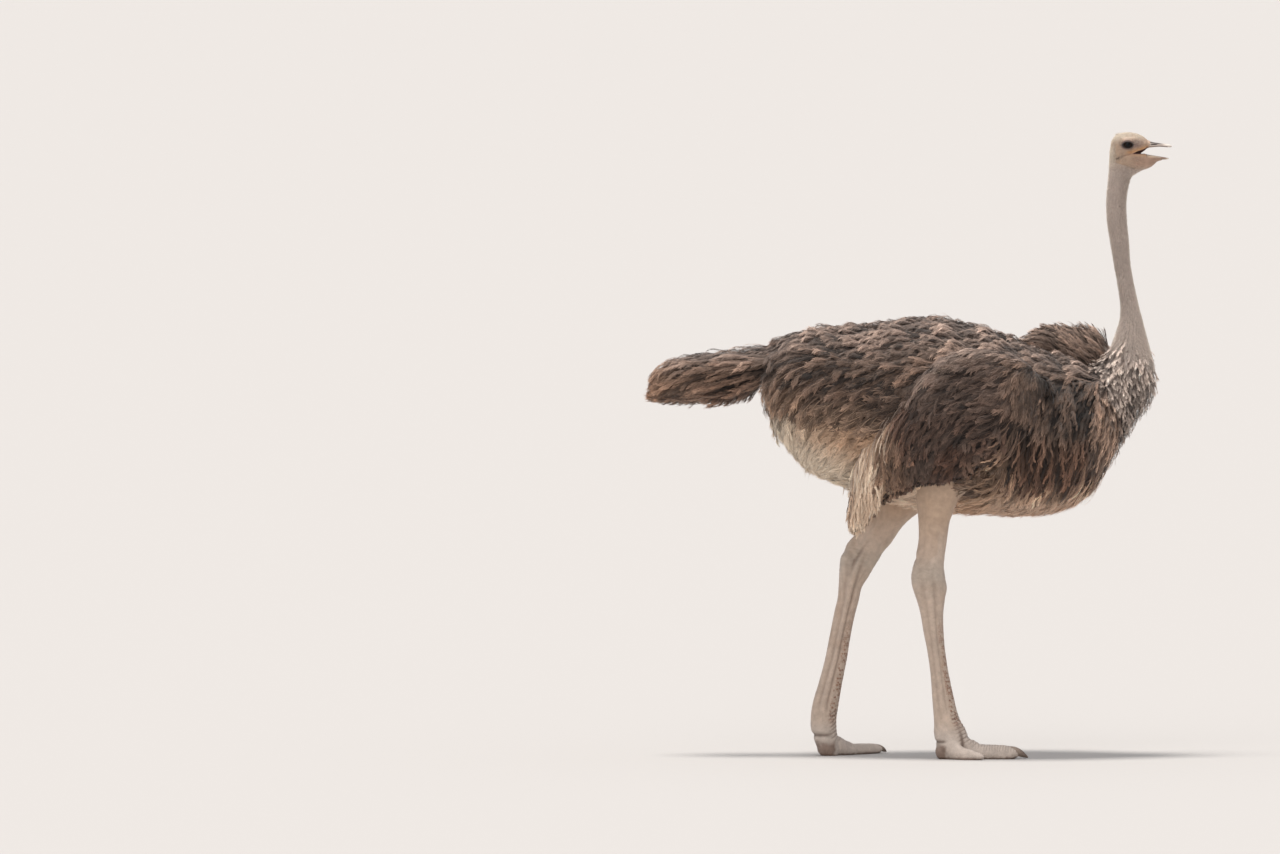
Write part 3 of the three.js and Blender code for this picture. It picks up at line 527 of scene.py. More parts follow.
def build_skin():
    # trunk, coarse, because feathers hide it
    trunk = loft_object("skin", BODY_ROW, 0, 17.0, 90, 64, inset_body)
    for row, s1, d in ((TAIL_ROW, 8, 24), (RUFF_ROW, 7, 20), (WING_ROWS[1], 13, 15), (WING_ROWS[-1], 13, 15)):

        def inset(s, row=row, d=d):
            w = row.ring(s)[..., 5]
            return np.minimum(d + (8 * smooth(2.5, 0.5, s) if row in WING_ROWS.values() else 0), 0.75 * w)

        o = loft_object("o", row, 0, s1, 40, 28, inset)
        combine(trunk, o, "UNION")
    # neck and head
    neck = loft_object("neck", BODY_ROW, 16.2, 37, 420, 120, inset_body)
    for side in (1, -1):
        e = EYE * [1, side, 1]
        combine(neck, ellipsoid("lid", e, [EYE_R + LID + 0.2] * 3, 64, 40), "UNION")
        # cheek behind the gape
        combine(neck, ellipsoid("cheek", [652, side * 27, 1806], [22, 12, 10], 40, 24), "UNION")
    combine(neck, prism("mouth", MOUTH, -90, 90), "DIFFERENCE")
    # floor and root of the tongue close the mouth behind; skin runs forward a little over both halves of the bill
    a = math.radians(21)
    lean = [[math.cos(a), 0, -math.sin(a)], [0, 1, 0], [math.sin(a), 0, math.cos(a)]]
    combine(neck, ellipsoid("lining", [664, 0, 1814.0], [50, 17, 12.5], 64, 40, lean), "UNION")
    combine(neck, ellipsoid("tongue", [690, 0, 1802.5], [34, 11, 8.5], 40, 24), "UNION")
    combine(neck, loft_object("sheath", Row(BILL_UPPER), 0.02, 0.80, 40, 72, lambda s: -0.9 + 1.0 * smooth(0.35, 0.80, s)), "UNION")
    lower = loft_object("sheath", Row(BILL_LOWER), 0.02, 2.6, 60, 72, lambda s: -0.9 + 1.4 * smooth(1.5, 2.6, s))
    p = coords(lower)
    p[:, 2] -= 4.6 - 1.2 * smooth(740, 757, p[:, 0])
    set_coords(lower, p)
    combine(neck, lower, "UNION")
    for side in (1, -1):
        e = EYE * [1, side, 1]
        combine(neck, ellipsoid("hole", [EYE[0] + 0.5, side * 52, EYE[2] - 0.4], [LID_OPENING[0], 26, 9.0], 64, 40), "DIFFERENCE")
        combine(neck, ellipsoid("socket", e, [EYE_R + 0.25] * 3, 64, 40), "DIFFERENCE")
        t = [[math.cos(0.5), 0, -math.sin(0.5)], [0, 1, 0], [math.sin(0.5), 0, math.cos(0.5)]]
        combine(neck, ellipsoid("ear", [625, side * 42, 1799], [7.0, 12, 3.0], 32, 20, t), "DIFFERENCE")
    remesh(neck, 1.15)
    p = coords(neck)
    rho = np.hypot((p[:, 0] - EYE[0]) / LID_OPENING[0], (p[:, 2] - EYE[2]) / LID_OPENING[1])
    soft = smooth(1.25, 1.7, rho) * smooth(1750, 1775, p[:, 2]) * (1 - smooth(1835, 1828, p[:, 2]) * smooth(1795, 1801, p[:, 2]) * smooth(655, 660, p[:, 0]))
    relax(neck, 12, soft)
    relax(neck, 2)
    p = coords(neck)
    relax(neck, 14, smooth(19.5, 17.0, np.abs(p[:, 1])) * smooth(668, 674, p[:, 0]) * smooth(716, 710, p[:, 0]) * smooth(1806, 1809, p[:, 2]) * smooth(1834, 1830, p[:, 2]))
    shape_neck(neck)
    reduce_to(neck, 150000)
    # legs
    legs = []
    for rings, foot in ((LEG_RIGHT, FOOT_RIGHT), (LEG_LEFT, FOOT_LEFT)):
        place = foot_place(*foot)
        c, s_ = math.cos(math.radians(foot[2])), math.sin(math.radians(foot[2]))
        turn = [[c, -s_, 0], [s_, c, 0], [0, 0, 1]]
        leg = loft_object("leg", Row(rings), 0.3, len(rings) - 1, 300, 96)
        extra = [
            loft_object("toe1", Row(TOE_INNER, place), 0, 7, 90, 64),
            loft_object("toe2", Row(TOE_OUTER, place), 0, 5, 60, 48),
        ]
        for centre, radii in (((58, -3, 42), (40, 23, 23)), ((14, 19, 40), (33, 20, 30)), ((-12, 0, 22), (24, 27, 26)), ((36, 12, 20), (34, 24, 18))):
            w = place(np.array([centre], float))[0]
            extra.append(ellipsoid("pad", w, radii, 40, 24, turn))
        if foot[3] > 0:
            extra.append(ellipsoid("knob", [-178, 84, 578], [32, 34, 44], 40, 24))
        else:
            extra.append(ellipsoid("knob", [48, -109, 548], [42, 41, 42], 40, 24))
        for o in extra:
            combine(leg, o, "UNION")
        remesh(leg, 1.5)
        shape_leg(leg, Row(rings), foot)
        reduce_to(leg, 80000)
        legs.append(leg)
    skin = trunk
    combine(skin, neck, "UNION")
    for leg in legs:
        combine(skin, leg, "UNION")
    for p in skin.data.polygons:
        p.use_smooth = True
    return skin


def shape_neck(ob):
    """Folds and furrows of head and neck."""
    p = coords(ob)
    n = vertex_normals(ob)
    x, y, z = p.T
    ay = np.abs(y)
    d = np.zeros(len(p))
    head = smooth(1752, 1790, z)
    side = ay > 20
    rho = np.hypot((x - EYE[0]) / LID_OPENING[0], (z - EYE[2] + 0.4) / 9.0)
    # brow: a soft ridge over the eye, falling off in front and behind
    brow_z = 1857.5 + 0.05 * (x - 652) - 0.010 * (x - 650) ** 2 * 0.3
    d += head * 2.4 * np.exp(-(((z - brow_z) / 5.5) ** 2)) * smooth(622, 640, x) * smooth(688, 668, x) * smooth(14, 24, ay)
    # hollow in front of the eye, running to the nostril
    d -= head * 2.2 * np.exp(-(((x - 688) / 16) ** 2) - ((z - 1838) / 7) ** 2) * smooth(12, 20, ay)
    # lid rims and folds, as rings about the opening
    near = side & (rho < 2.4)
    up = smooth(-0.3, 0.3, (z - EYE[2]) / LID_OPENING[1])
    d += np.where(near, 0.65 * np.exp(-((rho - 1.1) / 0.09) ** 2) - 1.0 * np.exp(-((rho - 1.36) / 0.08) ** 2)
                  + 0.5 * np.exp(-((rho - 1.52) / 0.1) ** 2) - 0.8 * (0.4 + 0.6 * up) * np.exp(-((rho - 1.78) / 0.09) ** 2), 0)
    # fine crinkles round the eye and over the cheek
    q = np.stack([x, y * 0.4, z], -1)
    d += head * 0.22 * noise(q, 4.2, 5) * smooth(1.1, 1.4, rho)
    # folds from the gape backwards and under the eye
    line = 1812 - (664 - x) * 0.28
    d += head * np.where(side, -1.1 * np.exp(-(((z - line) / 1.8) ** 2)) * smooth(628, 640, x) * smooth(668, 660, x), 0)
    line2 = 1822 - (690 - x) * 0.12 - 0.004 * (x - 660) ** 2
    d += head * np.where(side, -0.8 * np.exp(-(((z - line2) / 1.6) ** 2)) * smooth(634, 646, x) * smooth(700, 690, x), 0)
    # rolled edge of the gape
    lip_up = 1812 + 0.38 * (x - 664)
    d += head * np.where(side | (x > 690), 0.9 * np.exp(-(((z - lip_up - 3.0) / 2.2) ** 2)), 0) * smooth(660, 668, x) * smooth(712, 704, x)
    d += head * 0.8 * np.exp(-(((z - 1808.5) / 2.2) ** 2)) * smooth(662, 670, x) * smooth(712, 704, x)
    # throat skin: slack folds along the jaw
    throat = smooth(1803, 1793, z) * smooth(1748, 1764, z) * smooth(640, 668, x) * smooth(712, 684, x)
    d += throat * 0.5 * np.sin((z + 0.30 * x + 4.5 * noise(p, 18, 7)) * 2 * math.pi / 8.5)
    d += throat * 0.7 * noise(p, 6, 77) + head * 0.35 * noise(p, 3.6, 78) * smooth(1812, 1800, z) * smooth(745, 735, x)
    # upper neck: fine rings, broken up
    neck = smooth(1330, 1400, z) * smooth(1775, 1750, z)
    d += neck * (0.3 * np.sin((z + 5 * noise(p * [1, 1, 0.3], 14, 8)) * 2 * math.pi / 6.0) + 0.45 * noise(p, 6, 9) + 0.9 * noise(p, 30, 10))
    # windpipe and gullet show as soft lengthwise swellings
    phi = np.arctan2(y, x - np.interp(z, [1310, 1480, 1612, 1734], [664, 636, 620, 627]))
    d += neck * 1.3 * np.exp(-((phi - 0.35) / 0.3) ** 2) - neck * 1.1 * np.exp(-((np.abs(phi) - 1.15) / 0.2) ** 2)
    # base of the neck: upright furrows, branching
    cone = smooth(1090, 1150, z) * smooth(1390, 1330, z)
    ph = np.arctan2(y, x - 662)
    d += cone * 1.7 * np.sin(ph * 26 + 4.2 * noise(p * [1, 1, 0.3], 24, 11)) * (0.55 + 0.45 * noise(p, 18, 12))
    inside = (rho < 1.0) & side
    d[inside] = 0
    # the walls of the mouth stay plain
    wedge = (x > 664) & (z < lip_up - 1.5) & (z > 1810) & (ay < 30) & (np.abs(n[:, 1]) < 0.5)
    d[wedge] *= 0.2
    p += n * d[:, None]
    set_coords(ob, p)


def leg_axis(row, z):
    order = np.argsort(row.a[:, 1] + row.a[:, 3])
    zz = (row.a[order, 1] + row.a[order, 3]) / 2
    return (
        np.interp(z, zz, (row.a[order, 0] + row.a[order, 2]) / 2),
        np.interp(z, zz, row.a[order, 4]),
        np.interp(z, zz, row.a[order, 5]),
    )


def foot_local(p, foot):
    x, track, turn, side = foot
    c, s = math.cos(math.radians(turn)), math.sin(math.radians(turn))
    dx, dy = p[:, 0] - x, p[:, 1] - track
    return c * dx + s * dy, (-s * dx + c * dy) * side


def toe_drop(p, foot):
    """The toes are flatter than their solids, the far foot's more so."""
    lx, ly = foot_local(p, foot)
    if foot[3] > 0:
        return 1 - 0.34 * smooth(18, 75, lx) * smooth(120, 75, p[:, 2])
    return 1 - 0.10 * smooth(40, 95, lx) * smooth(110, 80, p[:, 2])


def plates(u, pitch, sharp=0.18):
    """Rounded plates with narrow grooves: 0 in the groove, 1 on the plate."""
    t = (u / pitch) % 1.0
    edge = np.minimum(t, 1 - t)
    return smooth(0, sharp, edge)


def scutes(u, v, pu, pv, seed):
    """Jittered cells on a strip: distance to the cell's edge (0 in the groove), and a number of the cell's own."""
    iu, iv = np.floor(u / pu), np.floor(v / pv)
    f1 = np.full(len(u), 9.0)
    f2 = np.full(len(u), 9.0)
    own = np.zeros(len(u))
    for a in (-1, 0, 1):
        for b in (-1, 0, 1):
            cu, cv = iu + a, iv + b
            ci, cj = cu.astype(np.int64), cv.astype(np.int64)
            ju = hashed(ci, cj, ci * 0 + 1, seed) - 0.5
            jv = hashed(ci, cj, ci * 0 + 2, seed) - 0.5
            off = np.where(np.mod(cv, 2) > 0.5, 0.5, 0.0)
            du = u / pu - (cu + 0.5 + off + 0.45 * ju)
            dv = v / pv - (cv + 0.5 + 0.45 * jv)
            dd = np.hypot(du, dv)
            closer = dd < f1
            f2 = np.where(closer, f1, np.minimum(f2, dd))
            own = np.where(closer, hashed(ci, cj, ci * 0 + 3, seed), own)
            f1 = np.where(closer, dd, f1)
    return f2 - f1, own


def leg_shape_of(p, foot, row):
    """Angles round the shank's own axis, the half width there, and where the hock is."""
    cx, cy, w = leg_axis(row, p[:, 2])
    th = np.arctan2(p[:, 1] - cy, p[:, 0] - cx)
    return th, np.abs(th), w, (592.0 if foot[3] > 0 else 556.0)


def shape_leg(ob, row, foot):
    p = coords(ob)
    left = foot[3] > 0
    lx, ly = foot_local(p, foot)
    joint = smooth(200, 120, p[:, 2]) * smooth(125, 75, lx)
    relax(ob, 45, joint)
    p = coords(ob)
    hock = np.exp(-(((p[:, 2] - (592 if left else 556)) / 70) ** 2))
    relax(ob, 30, hock)
    relax(ob, 3)
    p = coords(ob)
    n = vertex_normals(ob)
    x, y, z = p.T
    lx, ly = foot_local(p, foot)
    th, ath, w, hock_z = leg_shape_of(p, foot, row)
    shin = smooth(80, 130, z)
    d = np.zeros(len(p))
    hz = z - hock_z
    tarsus = shin * smooth(-60, -110, hz)
    front = smooth(1.25, 0.95, ath) * tarsus
    # front of the shank: rough plates in two or three columns, fading upwards
    edge, own = scutes(th * w + 0.2 * z, z, 7.6, 6.2, 21)
    strength = smooth(470, 300, z)
    d += front * (0.35 + 0.65 * strength) * (1.25 * smooth(0.02, 0.28, edge) - 0.9 + 0.35 * (own - 0.5))
    # sides and rear: small net scales as low relief
    edge2, own2 = scutes(th * w, z, 6.5, 6.0, 22)
    d += (1 - smooth(1.25, 0.95, ath)) * smooth(110, -10, hz) * shin * (0.38 * smooth(0.0, 0.3, edge2) - 0.2)
    # tendons: long grooves and ridges on each side
    deep = 4.2 if left else 2.2
    long = smooth(110, 170, z) * smooth(50, -50, hz)
    lean = 0.10 * np.sin(z / 90.0)
    for centre, width, k in ((1.30, 0.15, 1.0), (2.15, 0.2, 0.85)):
        d -= long * deep * k * np.exp(-(((ath - centre - lean) / width) ** 2))
    d += long * deep * 0.5 * np.exp(-(((ath - 1.72 - lean) / 0.22) ** 2))
    # hock: knobs to the sides, creases behind and in front
    d += 3.0 * np.exp(-((hz / 26) ** 2)) * np.exp(-(((ath - 1.57) / 0.5) ** 2))
    crease = np.exp(-((hz / 52) ** 2)) * (0.4 + 0.6 * smooth(1.2, 2.2, ath))
    d += 0.42 * crease * smooth(-0.1, 0.6, noise(p, 30, 36)) * np.sin((hz + 0.15 * (x - p[:, 0].mean()) + 7 * noise(p, 26, 23)) * 2 * math.pi / 11.0)
    d += np.exp(-(((hz + 4) / 60) ** 2)) * (1.0 * noise(p, 13, 24) + 0.5 * noise(p, 6, 26) + 2.2 * noise(p, 34, 38))
    if left:
        # lobe behind, and the bar of bone slanting down from the middle of the joint, dark either side
        d += 3.2 * np.exp(-(((hz + 8) / 34) ** 2)) * np.exp(-(((ath - 2.35) / 0.38) ** 2))
        d -= 3.6 * np.exp(-(((hz - 0) / 48) ** 2)) * np.exp(-(((ath - 1.85) / 0.12) ** 2))
        slant = 1.25 + 0.35 * smooth(-30, -140, hz)
        d += 3.0 * np.exp(-(((hz + 70) / 60) ** 2)) * np.exp(-(((ath - slant) / 0.2) ** 2))
        d -= 2.6 * np.exp(-(((hz + 70) / 60) ** 2)) * np.exp(-(((ath - slant + 0.42) / 0.13) ** 2))
    else:
        d -= 2.4 * np.exp(-(((hz - 46) / 9) ** 2)) * smooth(0.6, 1.4, ath)
        d -= 2.2 * np.exp(-(((hz + 52) / 10) ** 2)) * smooth(0.5, 1.2, ath) * smooth(3.0, 2.2, ath)
        d += 2.0 * np.exp(-(((hz + 30) / 22) ** 2)) * np.exp(-(((ath - 0.9) / 0.4) ** 2))
    # shin above the hock: slack fine skin, with the heel cord standing out behind
    shank = smooth(10, 70, hz)
    d += shank * (0.6 * noise(p * [1, 1, 0.7], 8, 25) + 1.6 * noise(p * [1, 1, 0.5], 40, 27))
    d += shank * smooth(260, 90, hz) * (2.6 * np.exp(-(((ath - math.pi) / 0.35) ** 2)) - 2.4 * np.exp(-(((ath - 2.4) / 0.2) ** 2)))
    d -= shank * smooth(330, 160, hz) * 1.6 * np.exp(-(((ath - 1.1) / 0.22) ** 2))
    # foot: plates over the toes, creases at the bend, pads with fine bumps
    foot_m = smooth(120, 80, z)
    top = smooth(0.1, 0.55, n[:, 2])
    toe1 = foot_m * smooth(40, 58, lx) * smooth(28, 18, np.abs(ly + 8))
    d += toe1 * top * (1.1 * plates(lx + 0.12 * ly + 1.5 * noise(p, 14, 31), 8.0) - 0.6)
    toe2 = foot_m * smooth(30, 42, lx) * smooth(30, 38, ly + 0.25 * lx)
    d += toe2 * top * (0.9 * plates(lx + 0.5 * ly, 6.5) - 0.45)
    # groove between the toes
    d -= foot_m * 3.2 * np.exp(-(((ly - (18 + 0.16 * lx)) / 4.5) ** 2)) * smooth(22, 46, lx) * smooth(112, 92, lx) * top
    # creases where the shank bends into the foot
    bend = smooth(34, 62, z) * smooth(175, 120, z) * smooth(1.3, 0.8, ath)
    d += bend * 0.85 * (0.4 + 0.6 * smooth(-0.3, 0.5, noise(p, 26, 37))) * np.sin((z - 0.55 * lx) * 2 * math.pi / 12.5 + 2.2 * noise(p, 24, 29))
    sides = foot_m * (1 - top) * smooth(3, 9, z)
    e3, o3 = scutes(lx + 0.3 * z, z + 0.2 * ly, 6.0, 5.5, 33)
    d += sides * (0.6 * smooth(0, 0.3, e3) - 0.3)
    # deep fold over the heel pad, and the pad's rough edge
    heel = smooth(4, -12, lx)
    d -= heel * (5.0 * smooth(-2, -26, lx) if left else 3.0) * np.exp(-(((z - (62 if left else 52)) / (7 if left else 5)) ** 2))
    d += heel * (1.2 if left else 1.5) * np.exp(-(((z - 84) / 16) ** 2))
    d += foot_m * smooth(20, 6, z) * smooth(1, 3, z) * 1.1 * noise(p, 6, 30)
    d += foot_m * 0.8 * noise(p, 16, 34)
    p = p + n * d[:, None]
    p[:, 2] *= toe_drop(p, foot)
    p[:, 2] = np.where(p[:, 2] < 1.2, 0, p[:, 2] - 1.2 * smooth(12, 0, p[:, 2]))
    set_coords(ob, p)


def tone_skin(p, n):
    """Colour of the bare skin and of what lies under the plumage; the fourth number says how scaly it is."""
    x, y, z = p.T
    ay = np.abs(y)
    c = mix(rgb(40, 31, 27)[None], BUFF[None] * 0.8, paleness(p))
    plume = plume_edge(p)
    c = mix(c, rgb(78, 62, 53)[None], smooth(195, 215, ay) * smooth(1000, 1100, z) * smooth(560, 500, x))
    c = mix(c, BUFF[None] * 0.75, smooth(1.6, 0.9, plume) * smooth(1120, 1060, z) * smooth(660, 700, z))
    scaly = np.full(len(p), 0.15)
    # neck and head
    neck = smooth(1000, 1120, z) * smooth(545, 590, x)
    c = mix(c, NECK_SKIN[None], neck)
    ph = np.arctan2(y, x - 662)
    furrow = np.sin(ph * 26 + 4.2 * noise(p * [1, 1, 0.3], 24, 11))
    cone = smooth(1090, 1150, z) * smooth(1390, 1330, z)
    # painted shade in the furrows at the base of the neck, and painted highlight on the ridges between them
    c = mix(c, rgb(112, 96, 87)[None], 0.8 * cone * smooth(-0.1, -0.8, furrow) * neck)
    c = mix(c, rgb(190, 178, 168)[None], 0.6 * cone * smooth(0.2, 0.9, furrow) * neck)
    c = c * (1 + 0.07 * noise(p, 9, 41) + 0.06 * noise(p, 40, 42))[:, None]
    head = smooth(1750, 1785, z)
    c = mix(c, FACE[None], head)
    c = mix(c, c * 0.82, head * smooth(0.0, 0.7, noise(p, 13, 43)))
    c = c * (1 + head * (0.16 * noise(p, 4.5, 46) + 0.14 * noise(p * [1, 1, 2.2], 9, 47)))[:, None]
    rho = np.hypot((x - EYE[0]) / LID_OPENING[0], (z - EYE[2] + 0.4) / 9.0)
    side = ay > 20
    around = np.hypot((x - EYE[0] - 4) / 34, (z - EYE[2]) / 19)
    c = mix(c, rgb(150, 124, 114)[None], 0.75 * head * np.where(side, smooth(1.15, 0.55, around), 0))
    c = mix(c, rgb(98, 80, 75)[None], 0.7 * head * np.where(side, np.exp(-((rho - 1.25) / 0.45) ** 2), 0))
    c = mix(c, rgb(44, 34, 31)[None], 0.95 * head * np.where(side, smooth(1.42, 1.08, rho), 0))
    c = mix(c, rgb(128, 102, 98)[None], 0.85 * head * np.where(side, smooth(706, 684, x) * smooth(664, 676, x) * smooth(1826, 1834, z) * smooth(1858, 1848, z), 0))
    lip = np.exp(-(((z - (1818 + 0.32 * (x - 664))) / 7) ** 2)) * smooth(634, 662, x) * smooth(716, 706, x)
    c = mix(c, GAPE[None], 0.9 * head * lip)
    lip2 = np.exp(-(((z - 1807) / 4.5) ** 2)) * smooth(652, 672, x)
    c = mix(c, rgb(176, 140, 112)[None], 0.8 * head * lip2)
    c = mix(c, rgb(160, 128, 111)[None], 0.6 * head * smooth(1804, 1797, z) * smooth(1760, 1775, z) * smooth(652, 680, x))
    # painted shade along the fold running back from the gape
    c = mix(c, rgb(124, 96, 82)[None], 0.55 * head * np.where(side, np.exp(-(((z - (1812 - (664 - x) * 0.28)) / 2.2) ** 2)) * smooth(626, 634, x) * smooth(666, 658, x), 0))
    # painted shade in the ear opening
    c = mix(c, rgb(58, 40, 34)[None], 0.95 * head * np.where(side, np.exp(-(((x - 622) / 11) ** 2) - (((z - 1797.5 - 0.40 * (x - 622)) / 3.8) ** 2)), 0))
    crown = head * smooth(1850, 1864, z) * smooth(716, 700, x)
    c = mix(c, rgb(190, 172, 154)[None], 0.8 * crown)
    lip_up = 1812 + 0.38 * (x - 664)
    inner = (x > 664.5) & (z < lip_up - 0.6) & (z > 1810.0) & (x < 712)
    inner |= (x > 666) & (z > 1799.5) & (z < 1811.8) & (ay < 17) & (x < 726) & (n[:, 2] > 0.05)
    inner |= (x > 664.5) & (x < 712) & (z > 1810) & (z < lip_up + 1.2) & (n[:, 2] < -0.6) & (ay < 24)
    c = np.where(inner[:, None], MOUTH_IN[None] * (1 + 0.15 * noise(p, 5, 44))[:, None], c)
    # legs
    for rings, foot in ((LEG_RIGHT, FOOT_RIGHT), (LEG_LEFT, FOOT_LEFT)):
        row = Row(rings)
        m = ((y < 0) if foot[3] < 0 else (y > 0)) & (z < (905 if foot[3] < 0 else 900)) & leg_side(p, row)
        if not m.any():
            continue
        q = p[m]
        nn = n[m]
        qz = q[:, 2]
        th, ath, w, hock_z = leg_shape_of(q, foot, row)
        lx, ly = foot_local(q, foot)
        hz = qz - hock_z
        base = LEG[None] * (1 + 0.05 * noise(q, 34, 51) + 0.06 * noise(q, 7, 52))[:, None]
        base = mix(base, rgb(178, 152, 132)[None], 0.5 * smooth(0.1, 0.7, noise(q * [1, 1, 0.5], 24, 54)))
        base = mix(base, rgb(182, 154, 130)[None], 0.8 * smooth(60, 170, hz))
        base = mix(base, rgb(190, 177, 163)[None], 0.6 * np.exp(-(((hz + 4) / 44) ** 2)))
        # creases of the hock darker: painted shade in the creases
        crease = np.exp(-((hz / 52) ** 2)) * (0.4 + 0.6 * smooth(1.2, 2.2, ath))
        sn = np.sin((hz + 0.15 * (q[:, 0] - q[:, 0].mean()) + 7 * noise(q, 26, 23)) * 2 * math.pi / 11.0)
        base = mix(base, rgb(126, 108, 96)[None], 0.22 * crease * smooth(-0.1, 0.6, noise(q, 30, 36)) * smooth(-0.2, -0.9, sn))
        # front plates: reddish brown, patchy, grooves pale
        front = smooth(1.25, 0.95, ath) * smooth(-50, -170, hz) * smooth(70, 120, qz)
        edge, own = scutes(th * w + 0.2 * qz, qz, 7.6, 6.2, 21)
        strength = smooth(470, 300, qz)
        plate = smooth(0.05, 0.25, edge)
        patch = smooth(0.30, 0.70, own + 0.3 * noise(q, 26, 53))
        base = mix(base, mix(rgb(172, 128, 102)[None], rgb(128, 86, 66)[None], own), 0.85 * front * strength * patch * plate)
        base = mix(base, rgb(196, 176, 160)[None], 0.5 * front * (1 - plate))
        # grooves between tendons, painted darker as shade
        long = smooth(110, 170, qz) * smooth(50, -50, hz)
        lean = 0.10 * np.sin(qz / 90.0)
        g = np.exp(-(((ath - 1.30 - lean) / 0.14) ** 2)) + 0.7 * np.exp(-(((ath - 2.15 - lean) / 0.18) ** 2))
        base = mix(base, rgb(120, 100, 88)[None], (0.5 if foot[3] > 0 else 0.3) * long * g)
        if foot[3] > 0:
            # painted shade in the groove beside the far hock's bar of bone
            base = mix(base, rgb(112, 92, 80)[None], 0.6 * np.exp(-((hz / 48) ** 2)) * np.exp(-(((ath - 1.85) / 0.13) ** 2)))
        foot_m = smooth(120, 60, qz)
        base = mix(base, rgb(202, 188, 177)[None], 0.8 * foot_m)
        gr = 1 - plates(lx + 0.12 * ly + 1.5 * noise(q, 14, 31), 8.0)
        base = mix(base, rgb(126, 108, 98)[None], 0.6 * foot_m * gr * smooth(0.1, 0.5, nn[:, 2]) * smooth(40, 58, lx) * smooth(28, 18, np.abs(ly + 8)))
        # painted shade in the creases where the shank bends into the foot
        bend = smooth(34, 62, qz) * smooth(175, 120, qz) * smooth(1.3, 0.8, ath)
        bs = np.sin((qz - 0.55 * lx) * 2 * math.pi / 12.5 + 1.5 * noise(q, 24, 29))
        base = mix(base, rgb(112, 92, 80)[None], 0.6 * bend * smooth(-0.3, -0.9, bs))
        # painted shade in the groove between the toes
        base = mix(base, rgb(112, 92, 80)[None], 0.85 * foot_m * np.exp(-(((ly - (18 + 0.16 * lx)) / 4.5) ** 2)) * smooth(22, 46, lx) * smooth(112, 92, lx))
        base = mix(base, rgb(104, 78, 62)[None], smooth(9, 2, qz + 3 * noise(q, 8, 55)) * 0.75)
        heel = smooth(6, -8, lx + 5 * noise(q, 9, 56)) * smooth(50, 30, qz + 7 * noise(q, 12, 57)) * foot_m
        base = mix(base, rgb(108, 78, 60)[None], 0.72 * heel)
        # painted shade in the fold over the heel pad
        fold = smooth(*((-6, -28) if foot[3] > 0 else (4, -12)), lx) * np.exp(-(((qz - (62 if foot[3] > 0 else 52)) / 5) ** 2))
        base = mix(base, rgb(84, 62, 50)[None], 0.7 * fold)
        c[m] = base
        scaly[m] = 0.35 + 0.5 * smooth(100, -60, hz)
    return np.clip(c, 0.004, 1), scaly


def leg_side(p, row):
    """True for points of this leg rather than of the trunk: below the trunk's lower outline, or near the leg's own surface."""
    x, y, z = p.T
    cx, cy, w = leg_axis(row, z)
    half = np.interp(z, np.sort((row.a[:, 1] + row.a[:, 3]) / 2), (np.hypot(row.a[:, 0] - row.a[:, 2], row.a[:, 1] - row.a[:, 3]) / 2)[np.argsort((row.a[:, 1] + row.a[:, 3]) / 2)])
    r = np.hypot((x - cx) / (half + 8), (y - cy) / (w + 8))
    return (r < 1.15) | (z < 700)


# ------------------------------------------------------------------ materials
def material(name, rough=0.6, sheen=0.0, coat=0.0, spec=0.5):
    m = bpy.data.materials.new(name)
    m.use_nodes = True
    nt = m.node_tree
    b = nt.nodes["Principled BSDF"]
    b.inputs["Roughness"].default_value = rough
    b.inputs["Sheen Weight"].default_value = sheen
    b.inputs["Sheen Roughness"].default_value = 0.6
    b.inputs["Coat Weight"].default_value = coat
    b.inputs["Specular IOR Level"].default_value = spec
    return m, nt, b


def node(nt, kind, **values):
    n = nt.nodes.new(kind)
    for k, v in values.items():
        if k in n.inputs:
            n.inputs[k].default_value = v
        else:
            setattr(n, k, v)
    return n


